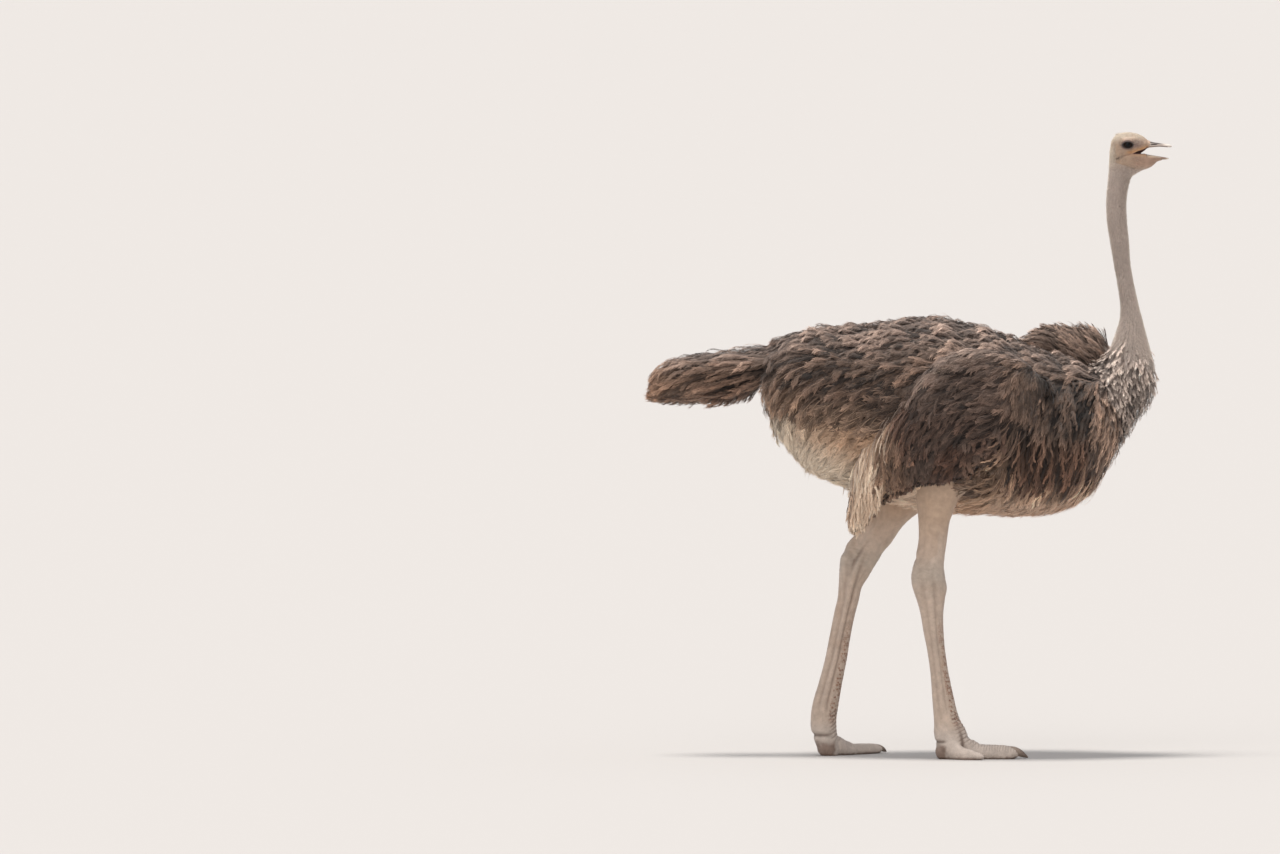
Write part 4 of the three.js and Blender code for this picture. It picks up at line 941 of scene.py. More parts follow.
def skin_material():
    m, nt, b = material("ostrich_skin", 0.62, 0.12, 0.0, 0.32)
    at = node(nt, "ShaderNodeAttribute", attribute_name="tone")
    sc = node(nt, "ShaderNodeAttribute", attribute_name="scaly")
    co = node(nt, "ShaderNodeTexCoord")
    fine = node(nt, "ShaderNodeTexNoise", Scale=520.0, Detail=3.0)
    wide = node(nt, "ShaderNodeTexNoise", Scale=60.0, Detail=4.0)
    cells = node(nt, "ShaderNodeTexVoronoi", Scale=420.0, feature="DISTANCE_TO_EDGE")
    for n in (fine, wide, cells):
        nt.links.new(co.outputs["Object"], n.inputs["Vector"])
    ramp = node(nt, "ShaderNodeMapRange")
    nt.links.new(wide.outputs["Fac"], ramp.inputs["Value"])
    ramp.inputs["From Min"].default_value, ramp.inputs["From Max"].default_value = 0.3, 0.7
    ramp.inputs["To Min"].default_value, ramp.inputs["To Max"].default_value = 0.88, 1.10
    r2 = node(nt, "ShaderNodeMapRange")
    nt.links.new(cells.outputs["Distance"], r2.inputs["Value"])
    r2.inputs["From Min"].default_value, r2.inputs["From Max"].default_value = 0.0, 0.14
    r2.inputs["To Min"].default_value, r2.inputs["To Max"].default_value = -0.30, 0.0
    r3 = node(nt, "ShaderNodeMath", operation="MULTIPLY_ADD")
    nt.links.new(r2.outputs[0], r3.inputs[0])
    nt.links.new(sc.outputs["Fac"], r3.inputs[1])
    r3.inputs[2].default_value = 1.0
    mul = node(nt, "ShaderNodeMath", operation="MULTIPLY")
    nt.links.new(ramp.outputs[0], mul.inputs[0])
    nt.links.new(r3.outputs[0], mul.inputs[1])
    vm = node(nt, "ShaderNodeVectorMath", operation="SCALE")
    nt.links.new(at.outputs["Color"], vm.inputs[0])
    nt.links.new(mul.outputs[0], vm.inputs["Scale"])
    nt.links.new(vm.outputs[0], b.inputs["Base Color"])
    h = node(nt, "ShaderNodeMath", operation="MULTIPLY")
    nt.links.new(cells.outputs["Distance"], h.inputs[0])
    nt.links.new(sc.outputs["Fac"], h.inputs[1])
    add = node(nt, "ShaderNodeMath", operation="MULTIPLY_ADD")
    nt.links.new(h.outputs[0], add.inputs[0])
    add.inputs[1].default_value = 2.0
    nt.links.new(fine.outputs["Fac"], add.inputs[2])
    bump = node(nt, "ShaderNodeBump", Strength=0.4, Distance=0.0008)
    nt.links.new(add.outputs[0], bump.inputs["Height"])
    nt.links.new(bump.outputs[0], b.inputs["Normal"])
    rr = node(nt, "ShaderNodeMapRange")
    nt.links.new(wide.outputs["Fac"], rr.inputs["Value"])
    rr.inputs["To Min"].default_value, rr.inputs["To Max"].default_value = 0.55, 0.8
    nt.links.new(rr.outputs[0], b.inputs["Roughness"])
    return m


def coat_material(name, rough=0.75, sheen=0.25):
    m, nt, b = material(name, rough, sheen, 0.0, 0.2)
    at = node(nt, "ShaderNodeAttribute", attribute_name="tone")
    co = node(nt, "ShaderNodeTexCoord")
    fine = node(nt, "ShaderNodeTexNoise", Scale=300.0, Detail=2.0)
    nt.links.new(co.outputs["Object"], fine.inputs["Vector"])
    ramp = node(nt, "ShaderNodeMapRange")
    nt.links.new(fine.outputs["Fac"], ramp.inputs["Value"])
    ramp.inputs["From Min"].default_value, ramp.inputs["From Max"].default_value = 0.3, 0.7
    ramp.inputs["To Min"].default_value, ramp.inputs["To Max"].default_value = 0.85, 1.12
    vm = node(nt, "ShaderNodeVectorMath", operation="SCALE")
    nt.links.new(at.outputs["Color"], vm.inputs[0])
    nt.links.new(ramp.outputs[0], vm.inputs["Scale"])
    nt.links.new(vm.outputs[0], b.inputs["Base Color"])
    return m


def horn_material(name, low, high, rough=0.42):
    m, nt, b = material(name, rough, 0.0, 0.0, 0.45)
    at = node(nt, "ShaderNodeAttribute", attribute_name="tone")
    co = node(nt, "ShaderNodeTexCoord")
    st = node(nt, "ShaderNodeMapping")
    st.inputs["Scale"].default_value = (0.25, 1.0, 1.0)
    nt.links.new(co.outputs["Object"], st.inputs["Vector"])
    n1 = node(nt, "ShaderNodeTexNoise", Scale=260.0, Detail=4.0)
    nt.links.new(st.outputs[0], n1.inputs["Vector"])
    ramp = node(nt, "ShaderNodeMapRange")
    nt.links.new(n1.outputs["Fac"], ramp.inputs["Value"])
    ramp.inputs["From Min"].default_value, ramp.inputs["From Max"].default_value = 0.3, 0.7
    ramp.inputs["To Min"].default_value, ramp.inputs["To Max"].default_value = low, high
    vm = node(nt, "ShaderNodeVectorMath", operation="SCALE")
    nt.links.new(at.outputs["Color"], vm.inputs[0])
    nt.links.new(ramp.outputs[0], vm.inputs["Scale"])
    nt.links.new(vm.outputs[0], b.inputs["Base Color"])
    bump = node(nt, "ShaderNodeBump", Strength=0.3, Distance=0.0005)
    nt.links.new(n1.outputs["Fac"], bump.inputs["Height"])
    nt.links.new(bump.outputs[0], b.inputs["Normal"])
    return m


def eye_material(side):
    m, nt, b = material("eye_" + ("left" if side > 0 else "right"), 0.05, 0.0, 0.0, 0.3)
    b.inputs["IOR"].default_value = 1.34
    co = node(nt, "ShaderNodeTexCoord")
    centre = metres(EYE * [1, side, 1])
    sub = node(nt, "ShaderNodeVectorMath", operation="SUBTRACT")
    nt.links.new(co.outputs["Object"], sub.inputs[0])
    sub.inputs[1].default_value = tuple(centre)
    flat = node(nt, "ShaderNodeVectorMath", operation="MULTIPLY")
    nt.links.new(sub.outputs[0], flat.inputs[0])
    flat.inputs[1].default_value = (1, 0, 1)
    ln = node(nt, "ShaderNodeVectorMath", operation="LENGTH")
    nt.links.new(flat.outputs[0], ln.inputs[0])
    n1 = node(nt, "ShaderNodeTexNoise", Scale=900.0, Detail=3.0)
    nt.links.new(co.outputs["Object"], n1.inputs["Vector"])
    wob = node(nt, "ShaderNodeMath", operation="MULTIPLY_ADD")
    nt.links.new(n1.outputs["Fac"], wob.inputs[0])
    wob.inputs[1].default_value = 0.0012
    nt.links.new(ln.outputs["Value"], wob.inputs[2])
    ramp = node(nt, "ShaderNodeValToRGB")
    nt.links.new(wob.outputs[0], node(nt, "ShaderNodeMapRange").inputs["Value"])
    mr = [n for n in nt.nodes if n.type == "MAP_RANGE"][-1]
    mr.inputs["From Max"].default_value = 0.020
    nt.links.new(mr.outputs[0], ramp.inputs["Fac"])
    e = ramp.color_ramp.elements
    e[0].position, e[0].color = 0.0, (0.003, 0.003, 0.004, 1)
    e[1].position, e[1].color = 1.0, (0.012, 0.007, 0.005, 1)
    for pos, col in ((0.34, (0.003, 0.003, 0.004, 1)), (0.38, (0.013, 0.006, 0.004, 1)), (0.56, (0.022, 0.010, 0.006, 1)), (0.68, (0.006, 0.004, 0.003, 1))):
        k = e.new(pos)
        k.color = col
    nt.links.new(ramp.outputs["Color"], b.inputs["Base Color"])
    return m


def paint(ob, colours, name="tone"):
    a = ob.data.color_attributes.get(name) or ob.data.color_attributes.new(name, "FLOAT_COLOR", "POINT")
    a.data.foreach_set("color", np.concatenate([colours, np.ones((len(colours), 1))], 1).astype(np.float32).ravel())


# ------------------------------------------------------------------ the coat
def scatter(row, s0, s1, count_hint, radius, keep=None, seed=1, phi0=0.0, phi1=2 * math.pi):
    """Roots spread evenly on a row's surface between s0 and s1, no two nearer than radius (a number or a function of the point)."""
    r = np.random.default_rng(seed)
    ns, nf = 240, 160
    S, F = np.meshgrid(np.linspace(s0, s1, ns), np.linspace(phi0, phi1, nf), indexing="ij")
    p = row.point(S, F)
    du = p[1:, :-1] - p[:-1, :-1]
    dv = p[:-1, 1:] - p[:-1, :-1]
    area = np.linalg.norm(np.cross(du, dv), axis=-1)
    if callable(radius):
        area = area / np.maximum(radius(p[:-1, :-1]), 0.5) ** 2
    flat = area.ravel() / area.sum()
    pick = r.choice(len(flat), size=count_hint, p=flat)
    i, j = np.divmod(pick, nf - 1)
    s = S[i, 0] + r.random(count_hint) * (S[1, 0] - S[0, 0])
    f = F[0, j] + r.random(count_hint) * (F[0, 1] - F[0, 0])
    q = row.point(s, f)
    if keep is not None:
        ok = keep(q, s, f)
        s, f, q = s[ok], f[ok], q[ok]
    rad = radius(q) if callable(radius) else np.full(len(q), float(radius))
    cell = float(rad.max())
    grid = {}
    kept = []
    keys = np.floor(q / cell).astype(int)
    ql = q.tolist()
    kl = keys.tolist()
    rl = (rad**2).tolist()
    offs = [(a, b, c) for a in (-1, 0, 1) for b in (-1, 0, 1) for c in (-1, 0, 1)]
    for n in range(len(ql)):
        x, y, z = ql[n]
        kx, ky, kz = kl[n]
        rr = rl[n]
        bad = False
        for a, b, c in offs:
            for m in grid.get((kx + a, ky + b, kz + c), ()):
                X, Y, Z = ql[m]
                if (X - x) ** 2 + (Y - y) ** 2 + (Z - z) ** 2 < rr:
                    bad = True
                    break
            if bad:
                break
        if not bad:
            grid.setdefault((kx, ky, kz), []).append(n)
            kept.append(n)
    kept = np.array(kept, int)
    return s[kept], f[kept], q[kept]


def trace(row, s, f, field, length, steps, s_min=0.0, s_max=None, stiff=None, free_after=None, fall=0.16):
    """Walks from each root along the field over the surface. Past the ends of the row it goes straight on, with a droop."""
    s_max = row.n if s_max is None else s_max
    s, f = s.copy(), f.copy()
    P, N, T = [], [], []
    p, ds, df, n = row.frame(s, f)
    free = np.zeros(len(s), bool)
    dl = (length / steps)[:, None]
    t_prev = None
    for k in range(steps + 1):
        want = field(p, n)
        t = unit(want - (want * n).sum(-1, keepdims=True) * n)
        if t_prev is not None:
            drop = unit(t_prev + np.array([0, 0, -fall]))
            t = np.where(free[:, None], drop, unit(t + 0.5 * t_prev) if stiff is None else unit(t + stiff * t_prev))
        P.append(p)
        N.append(n)
        T.append(t)
        if k == steps:
            break
        # step in (s, f)
        a11 = (ds * ds).sum(-1)
        a12 = (ds * df).sum(-1)
        a22 = (df * df).sum(-1)
        b1 = (ds * t).sum(-1)
        b2 = (df * t).sum(-1)
        det = np.maximum(a11 * a22 - a12 * a12, 1e-6)
        es = (b1 * a22 - b2 * a12) / det
        ef = (b2 * a11 - b1 * a12) / det
        s2 = s + es * dl[:, 0]
        f2 = f + ef * dl[:, 0]
        out = (s2 < s_min) | (s2 > s_max)
        free |= out
        if free_after is not None and k + 1 >= free_after:
            free[:] = True
        s = np.where(free, s, s2)
        f = np.where(free, f, f2)
        q, ds, df, n2 = row.frame(np.clip(s, s_min, s_max), f)
        p = np.where(free[:, None], p + t * dl, q)
        n2 = np.where(free[:, None], unit(n - (n * t).sum(-1, keepdims=True) * t), n2)
        n = n2
        t_prev = t
    return np.stack(P, 1), np.stack(N, 1), np.stack(T, 1)


class Coat:
    """Gathers ribbons of many feathers into pieces of fewer than 200,000 triangles."""

    LIMIT = 190000

    def __init__(self):
        self.batches = []

    def add(self, verts, quads, tris, colour, uv, key):
        """verts (F, V, 3) for F feathers of V vertices; quads/tris index one feather; colour (F, V, 3); uv (F, V, 2)."""
        self.batches.append((verts, quads, tris, colour, uv, key))

    def build(self, mat):
        made = []
        total = 0
        by_key = {}
        for b in self.batches:
            by_key.setdefault(b[5], []).append(b)
        for key, group in by_key.items():
            # cut into pieces by feather count
            items = []
            for verts, quads, tris, colour, uv, _ in group:
                per = 2 * len(quads) + len(tris)
                room = max(1, int(self.LIMIT // per))
                for i in range(0, len(verts), room):
                    items.append((verts[i : i + room], quads, tris, colour[i : i + room], uv[i : i + room], per * len(verts[i : i + room])))
            packs = []
            for it in items:
                for pk in packs:
                    if pk[0] + it[5] <= self.LIMIT:
                        pk[0] += it[5]
                        pk[1].append(it)
                        break
                else:
                    packs.append([it[5], [it]])
            for n, (count, its) in enumerate(packs):
                V, Q, T, C, U = [], [], [], [], []
                base = 0
                for verts, quads, tris, colour, uv, _ in its:
                    F, K, _3 = verts.shape
                    off = (base + np.arange(F) * K)[:, None, None]
                    if len(quads):
                        Q.append((quads[None] + off).reshape(-1, 4))
                    if len(tris):
                        T.append((tris[None] + off).reshape(-1, 3))
                    V.append(verts.reshape(-1, 3))
                    C.append(colour.reshape(-1, 3))
                    U.append(uv.reshape(-1, 2))
                    base += F * K
                V, C, U = np.vstack(V), np.vstack(C), np.vstack(U)
                polys = [np.vstack(Q)] if Q else []
                if T:
                    polys.append(np.vstack(T))
                name = f"coat_{key}_{n + 1}" if len(packs) > 1 else f"coat_{key}"
                ob = new_mesh(name, V, polys, True)
                paint(ob, np.clip(C, 0.002, 1))
                layer = ob.data.uv_layers.new(name="OFBake")
                vi = np.empty(len(ob.data.loops), np.int32)
                ob.data.loops.foreach_get("vertex_index", vi)
                layer.uv.foreach_set("vector", U[vi].astype(np.float32).ravel())
                ob.data.materials.append(mat)
                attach(ob, BODY_NAME)
                made.append(ob)
                total += count
        return made, total


def interp_along(A, t):
    """A (F, J, 3) sampled at t (F, B) in 0..1."""
    J = A.shape[1] - 1
    u = np.clip(t, 0, 1) * J
    i = np.clip(np.floor(u).astype(int), 0, J - 1)
    w = (u - i)[..., None]
    F = np.arange(A.shape[0])[:, None]
    return A[F, i] * (1 - w) + A[F, i + 1] * w


def feathers(coat, key, row, s, f, *, field, length, width, depth, stand, tone, barbs, barb_w, uv0, spread=(0.9, 0.35), camber=1.0, lip=0.0,
             droop=0.0, ragged=0.22, steps=7, s_min=0.0, s_max=None, seed=1, bare=0.3, twist=0.25, tone_var=0.12, shaft=True, pointed=0.4,
             sway=0.08, wave=0.0, locks=0, clump=None, stiff=None, slope=0.8, rim=0.7, wild=0.07, fan=0.13,
             free_after=None, fall=0.16, grade=0.8, low=0.30):
    """Grows one feather from each root. length, width, depth, stand are arrays (one a feather).
    tone(tip, normal, root) gives the colours of tip and foot. lip turns the end down, locks draws barb ends together."""
    r = np.random.default_rng(seed)
    F = len(s)
    if F == 0:
        return
    P, N, T = trace(row, s, f, field, length, steps, s_min, s_max, stiff, free_after, fall)
    J = steps + 1
    t = np.linspace(0, 1, J)[None, :]
    shade = np.ones(F)
    if clump is not None:
        lift, shade = clump(P[:, -2], P[:, 0])
        stand = stand + lift
    tip_tone, base_tone = tone(P[:, -1], N[:, -1], P[:, 0])
    # the locks' painted shade and painted highlight darken or lighten both tones of each feather
    tip_tone, base_tone = tip_tone * shade[:, None], base_tone * shade[:, None]
    h = -depth[:, None] + (depth + stand)[:, None] * np.clip(t / 0.88, 0, 1) ** slope - lip * smooth(0.78, 1.0, t)
    B = unit(np.cross(T, N))
    a = r.normal(0, 1, F)
    off = (a * sway * length)[:, None] * t**2
    if np.ndim(wave) or wave:
        ph = r.random(F) * 6.28
        off = off + (wave * (0.6 + 0.8 * r.random(F)))[:, None] * np.sin(ph[:, None] + t * length[:, None] / 11.0) * t
    R = P + N * h[..., None] + B * off[..., None]
    R[..., 2] -= droop * length[:, None] * t**2
    T = unit(np.gradient(R, axis=1))
    B = unit(np.cross(T, N))
    N = unit(np.cross(B, T))
    roll = r.normal(0, 0.14, F)[:, None, None]
    B, N = unit(B + N * roll), unit(N - B * roll)
    nb = barbs
    side = np.tile([1.0, -1.0], nb // 2 + 1)[:nb][None, :]
    u = (np.arange(nb)[None, :] + r.random((F, nb)) * 0.9) / nb
    tb = np.clip(bare + (1 - bare) * u, 0, 1)
    c = interp_along(R, tb)
    Tn, Bn, Nn = interp_along(T, tb), interp_along(B, tb), interp_along(N, tb)
    W = width[:, None]
    prof = np.sin(math.pi * (0.2 + 0.62 * u)) * (1 - pointed * u**2) + 0.15
    bl = (W * (1 + ragged * r.normal(0, 1, (F, nb))) * prof).clip(1.5, None)
    a0 = spread[0] * (1 - 0.5 * u**2) + r.normal(0, fan * 0.8, (F, nb))
    a1 = spread[1] * (1 - 0.55 * u**2) + r.normal(0, fan, (F, nb))
    ll = bl / np.maximum(np.sin((a0 + a1) / 2 + 0.12), 0.28)
    ll = np.minimum(ll, length[:, None] * 0.7)
    cam = camber * (1 + 0.35 * r.normal(0, 1, (F, nb)))
    m = c + 0.5 * ll[..., None] * (np.cos(a0)[..., None] * Tn + (side * np.sin(a0))[..., None] * Bn) - (0.15 * cam * bl)[..., None] * Nn
    e = m + 0.5 * ll[..., None] * (np.cos(a1)[..., None] * Tn + (side * np.sin(a1))[..., None] * Bn) - (0.55 * cam * bl + lip * 0.5 * u**2)[..., None] * Nn
    if locks:
        g = max(1, nb // (2 * locks))
        G = nb // (2 * g)
        k = G * g * 2
        q = e[:, :k].reshape(F, G, g, 2, 3)
        mean = q.mean(2, keepdims=True) + r.normal(0, 1, (F, G, 1, 2, 3)) * 1.5
        e[:, :k] = (q + 0.5 * (mean - q)).reshape(F, k, 3)
        side_tone = 1 + 0.16 * r.normal(0, 1, (F, G, 1, 2))
        lock_tone = np.ones((F, nb))
        lock_tone[:, :k] = np.broadcast_to(side_tone, (F, G, g, 2)).reshape(F, k)
    else:
        lock_tone = np.ones((F, nb))
    stray = (r.normal(0, 1, (F, nb, 3)) * (wild * ll)[..., None])
    e = e + stray
    e[..., 2] -= 0.04 * ll
    m = m + stray * 0.3
    dirb = unit(e - c)
    tw = r.normal(0, twist, (F, nb))[..., None]
    wv = unit(np.cross(Nn + Bn * tw * side[..., None], dirb))
    bw = (barb_w * (0.7 + 0.6 * r.random((F, nb))))[..., None] / 2
    V = np.stack([c - wv * bw * 0.7, c + wv * bw * 0.7, m - wv * bw * 1.2, m + wv * bw * 1.2, e], 2)  # F, nb, 5, 3
    flipped = (np.cross(V[:, :, 1] - V[:, :, 0], V[:, :, 2] - V[:, :, 0]) * Nn).sum(-1) < 0
    V[flipped] = V[flipped][:, [1, 0, 3, 2, 4]]
    verts = V.reshape(F, nb * 5, 3)
    k = np.arange(nb)[:, None] * 5
    quads = (k + np.array([[0, 1, 3, 2]])).reshape(-1, 4)
    tris = (k + np.array([[2, 3, 4]])).reshape(-1, 3)
    # colours: dark at the foot of each feather and barb, paler towards the ends: partly the feathers' own darker feet,
    # partly painted shade at the feet and painted light on the ends
    own = (1 + tone_var * r.normal(0, 1, F))[:, None, None, None]
    each = (lock_tone * (1 + 0.08 * r.normal(0, 1, (F, nb))))[..., None, None]
    v = (np.array([0.0, 0.0, 0.5, 0.5, 1.0])[None, None, :] * rim + (1 - rim) * 1.0) * (low + (1 - low) * u[..., None]) ** grade
    v = np.clip(v, 0, 1)[..., None]
    col = (base_tone[:, None, None, :] * (1 - v) + tip_tone[:, None, None, :] * v) * own * each
    colour = col.reshape(F, nb * 5, 3)
    # one small patch of the map for each feather
    uu = np.stack([np.broadcast_to((0.5 + 0.5 * side * 0.15)[..., None] + np.array([-0.02, 0.02, -0.02, 0.02, 0.0]) + (side * np.ones((F, nb)))[..., None] * np.array([0, 0, 0.2, 0.2, 0.38]), (F, nb, 5)),
                   np.clip(u[..., None] * 0.85 + np.array([0, 0, 0.05, 0.05, 0.12]), 0, 1)], -1)
    uv = uv0[:, None, :] + 0.003 * (uu.reshape(F, nb * 5, 2) - 0.5)
    if shaft:
        K = 4
        tt = np.linspace(bare * 0.8, 0.97, K)[None, :].repeat(F, 0)
        q = interp_along(R, tt)
        bb = interp_along(B, tt)
        nn = interp_along(N, tt)
        wd = np.linspace(0.8, 0.25, K)[None, :, None] * (1 if shaft is True else shaft)
        sv = np.stack([q - bb * wd + nn * 0.3, q + bb * wd + nn * 0.3], 2).reshape(F, K * 2, 3)
        o = verts.shape[1]
        sq = np.array([[o + 2 * a, o + 2 * a + 1, o + 2 * a + 3, o + 2 * a + 2] for a in range(K - 1)])
        fl = (np.cross(sv[:, 1] - sv[:, 0], sv[:, 2] - sv[:, 0]) * nn[:, 0]).sum(-1) < 0
        sv[fl] = sv[fl][:, [1, 0, 3, 2, 5, 4, 7, 6]]
        verts = np.concatenate([verts, sv], 1)
        quads = np.vstack([quads, sq])
        k0, k1 = (0.5, 0.5) if shaft is True else (0.1, 1.1)
        sc = (base_tone[:, None, :] * k0 + tip_tone[:, None, :] * k1) * own[:, 0] * np.ones((1, K * 2, 1))
        colour = np.concatenate([colour, sc], 1)
        suv = np.stack([np.tile([0.48, 0.52], K)[None].repeat(F, 0), np.repeat(np.linspace(0, 0.9, K), 2)[None].repeat(F, 0)], -1)
        uv = np.concatenate([uv, uv0[:, None, :] + 0.003 * (suv - 0.5)], 1)
    coat.add(verts, quads, tris, colour, uv, key)


def hairs(coat, key, p, n, lie, length, width, colour, tip, uv0, bend=0.4, stand=0.8, seed=1, var=0.12, joints=True):
    """Single tapering hairs, bent once, or straight where joints is False."""
    r = np.random.default_rng(seed)
    F = len(p)
    t = unit(lie - (lie * n).sum(-1, keepdims=True) * n)
    b = np.cross(t, n)
    ang = r.normal(0, 0.45, F)[:, None]
    t = unit(t * np.cos(ang) + b * np.sin(ang))
    st = (stand * (1 + 0.25 * r.normal(0, 1, F)))[:, None]
    d0 = unit(n * st + t * 0.6)
    d1 = unit(n * st * 0.6 + t * (0.6 + bend))
    L = length[:, None]
    m = p + d0 * L * 0.5
    e = m + d1 * L * 0.5
    w = unit(np.cross(d0, unit(r.normal(0, 1, (F, 3)))))
    hw = width[:, None] / 2
    own = (1 + var * r.normal(0, 1, F))[:, None, None]
    if joints:
        V = np.stack([p - w * hw, p + w * hw, m - w * hw * 0.8, m + w * hw * 0.8, e], 1)
        order, quads, tris = [1, 0, 3, 2, 4], np.array([[0, 1, 3, 2]]), np.array([[2, 3, 4]])
        k = np.array([0, 0, 0.5, 0.5, 1.0])
        uu = np.array([[0.3, 0.2], [0.7, 0.2], [0.35, 0.5], [0.65, 0.5], [0.5, 0.9]])
    else:
        V = np.stack([p - w * hw, p + w * hw, e], 1)
        order, quads, tris = [1, 0, 2], np.zeros((0, 4), int), np.array([[0, 1, 2]])
        k = np.array([0, 0, 1.0])
        uu = np.array([[0.3, 0.2], [0.7, 0.2], [0.5, 0.9]])
    fl = (np.cross(V[:, 1] - V[:, 0], V[:, 2] - V[:, 0]) * n).sum(-1) < 0
    V[fl] = V[fl][:, order]
    k = k[None, :, None]
    col = (colour[:, None, :] * (1 - k) + tip[:, None, :] * k) * own
    uv = uv0[:, None, :] + 0.003 * (uu[None] - 0.5)
    coat.add(V, quads, tris, col, uv, key)


def map_of(s, f, s0, s1):
    """The root's place on the row's own unwrap, kept clear of the edges."""
    return np.stack([0.01 + 0.98 * ((f / (2 * math.pi)) % 1.0), 0.01 + 0.98 * np.clip((s - s0) / (s1 - s0), 0, 1)], -1)


def field_trunk(p, n):
    """Which way feathers lie on the trunk: back along the top, down and back on the sides, down on the breast."""
    x, y, z = p[..., 0], p[..., 1], p[..., 2]
    side = smooth(0.85, -0.25, n[..., 2])
    breast = smooth(200, 340, x)
    rear = smooth(-60, -360, x)
    back = -(1.0 - 0.86 * breast * side)
    down = -(0.06 + side * (0.50 + 1.4 * breast + 0.40 * rear * smooth(1240, 1120, z)))
    back = back * (1 - 0.40 * rear * side * smooth(1120, 1000, z))
    low = smooth(860, 780, z) * breast
    back = back - 0.45 * low
    out = np.stack([back, 0.12 * np.sign(y) * side, down], -1)
    return out + 0.13 * np.stack([noise(p, 60, 61), noise(p, 60, 62), noise(p, 60, 63)], -1) * 1.4


def field_wing(row):
    def fn(p, n):
        # sweeping back from the shoulder and over, down at the rear; hanging in strands at the front
        x, z = p[..., 0], p[..., 2]
        t = smooth(380, -110, x) * (0.55 + 0.45 * smooth(1220, 900, z)) + 0.25 * smooth(1000, 840, z)
        a = np.clip(t * 1.35, 0, 1.45)
        d = np.stack([-np.cos(a), np.zeros_like(a), -(0.05 + np.sin(a))], -1)
        w = (smooth(235, 320, x) * smooth(1215, 1130, z))[..., None]
        d = d * (1 - w) + w * np.array([-0.22, 0, -1.0])
        return d + 0.14 * np.stack([noise(p, 50, 64), 0 * x, noise(p, 50, 65)], -1)

    return fn


def field_tail(p, n):
    x = p[..., 0]
    droop = 0.10 + 0.30 * smooth(-520, -740, x) + 0.35 * smooth(0.3, -0.8, n[..., 2])
    return np.stack([-np.ones_like(x), 0.05 * np.sign(p[..., 1]), -droop], -1) + 0.08 * np.stack([0 * x, noise(p, 40, 66), noise(p, 40, 67)], -1)


def field_ruff(p, n):
    x = p[..., 0]
    up = 0.85 * smooth(360, 450, x) - 0.1
    return np.stack([-np.ones_like(x), 0 * x, up], -1) + 0.18 * np.stack([0 * x, noise(p, 30, 68), noise(p, 30, 69)], -1)


def field_neckbase(p, n):
    x = p[..., 0]
    return np.stack([-0.15 + 0 * x, 0 * x, -np.ones_like(x)], -1) + 0.26 * np.stack([noise(p, 18, 70), noise(p, 18, 71), 0 * x], -1)


def near_tree(rows_limits, step=0.25, nf=40):
    """Points and normals of other surfaces, to tell what lies inside them."""
    pts, nrm = [], []
    for row, s0, s1 in rows_limits:
        S, F = np.meshgrid(np.arange(s0, s1, step), np.linspace(0, 2 * math.pi, nf, endpoint=False), indexing="ij")
        p, _, _, n = row.frame(S.ravel(), F.ravel())
        pts.append(p)
        nrm.append(n)
    pts, nrm = np.vstack(pts), np.vstack(nrm)
    tree = KDTree(len(pts))
    for i, q in enumerate(pts):
        tree.insert(q, i)
    tree.balance()

    def depth(p):
        out = np.empty(len(p))
        for i, q in enumerate(p):
            c, j, _ = tree.find(q)
            out[i] = ((q - pts[j]) * nrm[j]).sum()
        return out  # below 0 is inside

    return depth


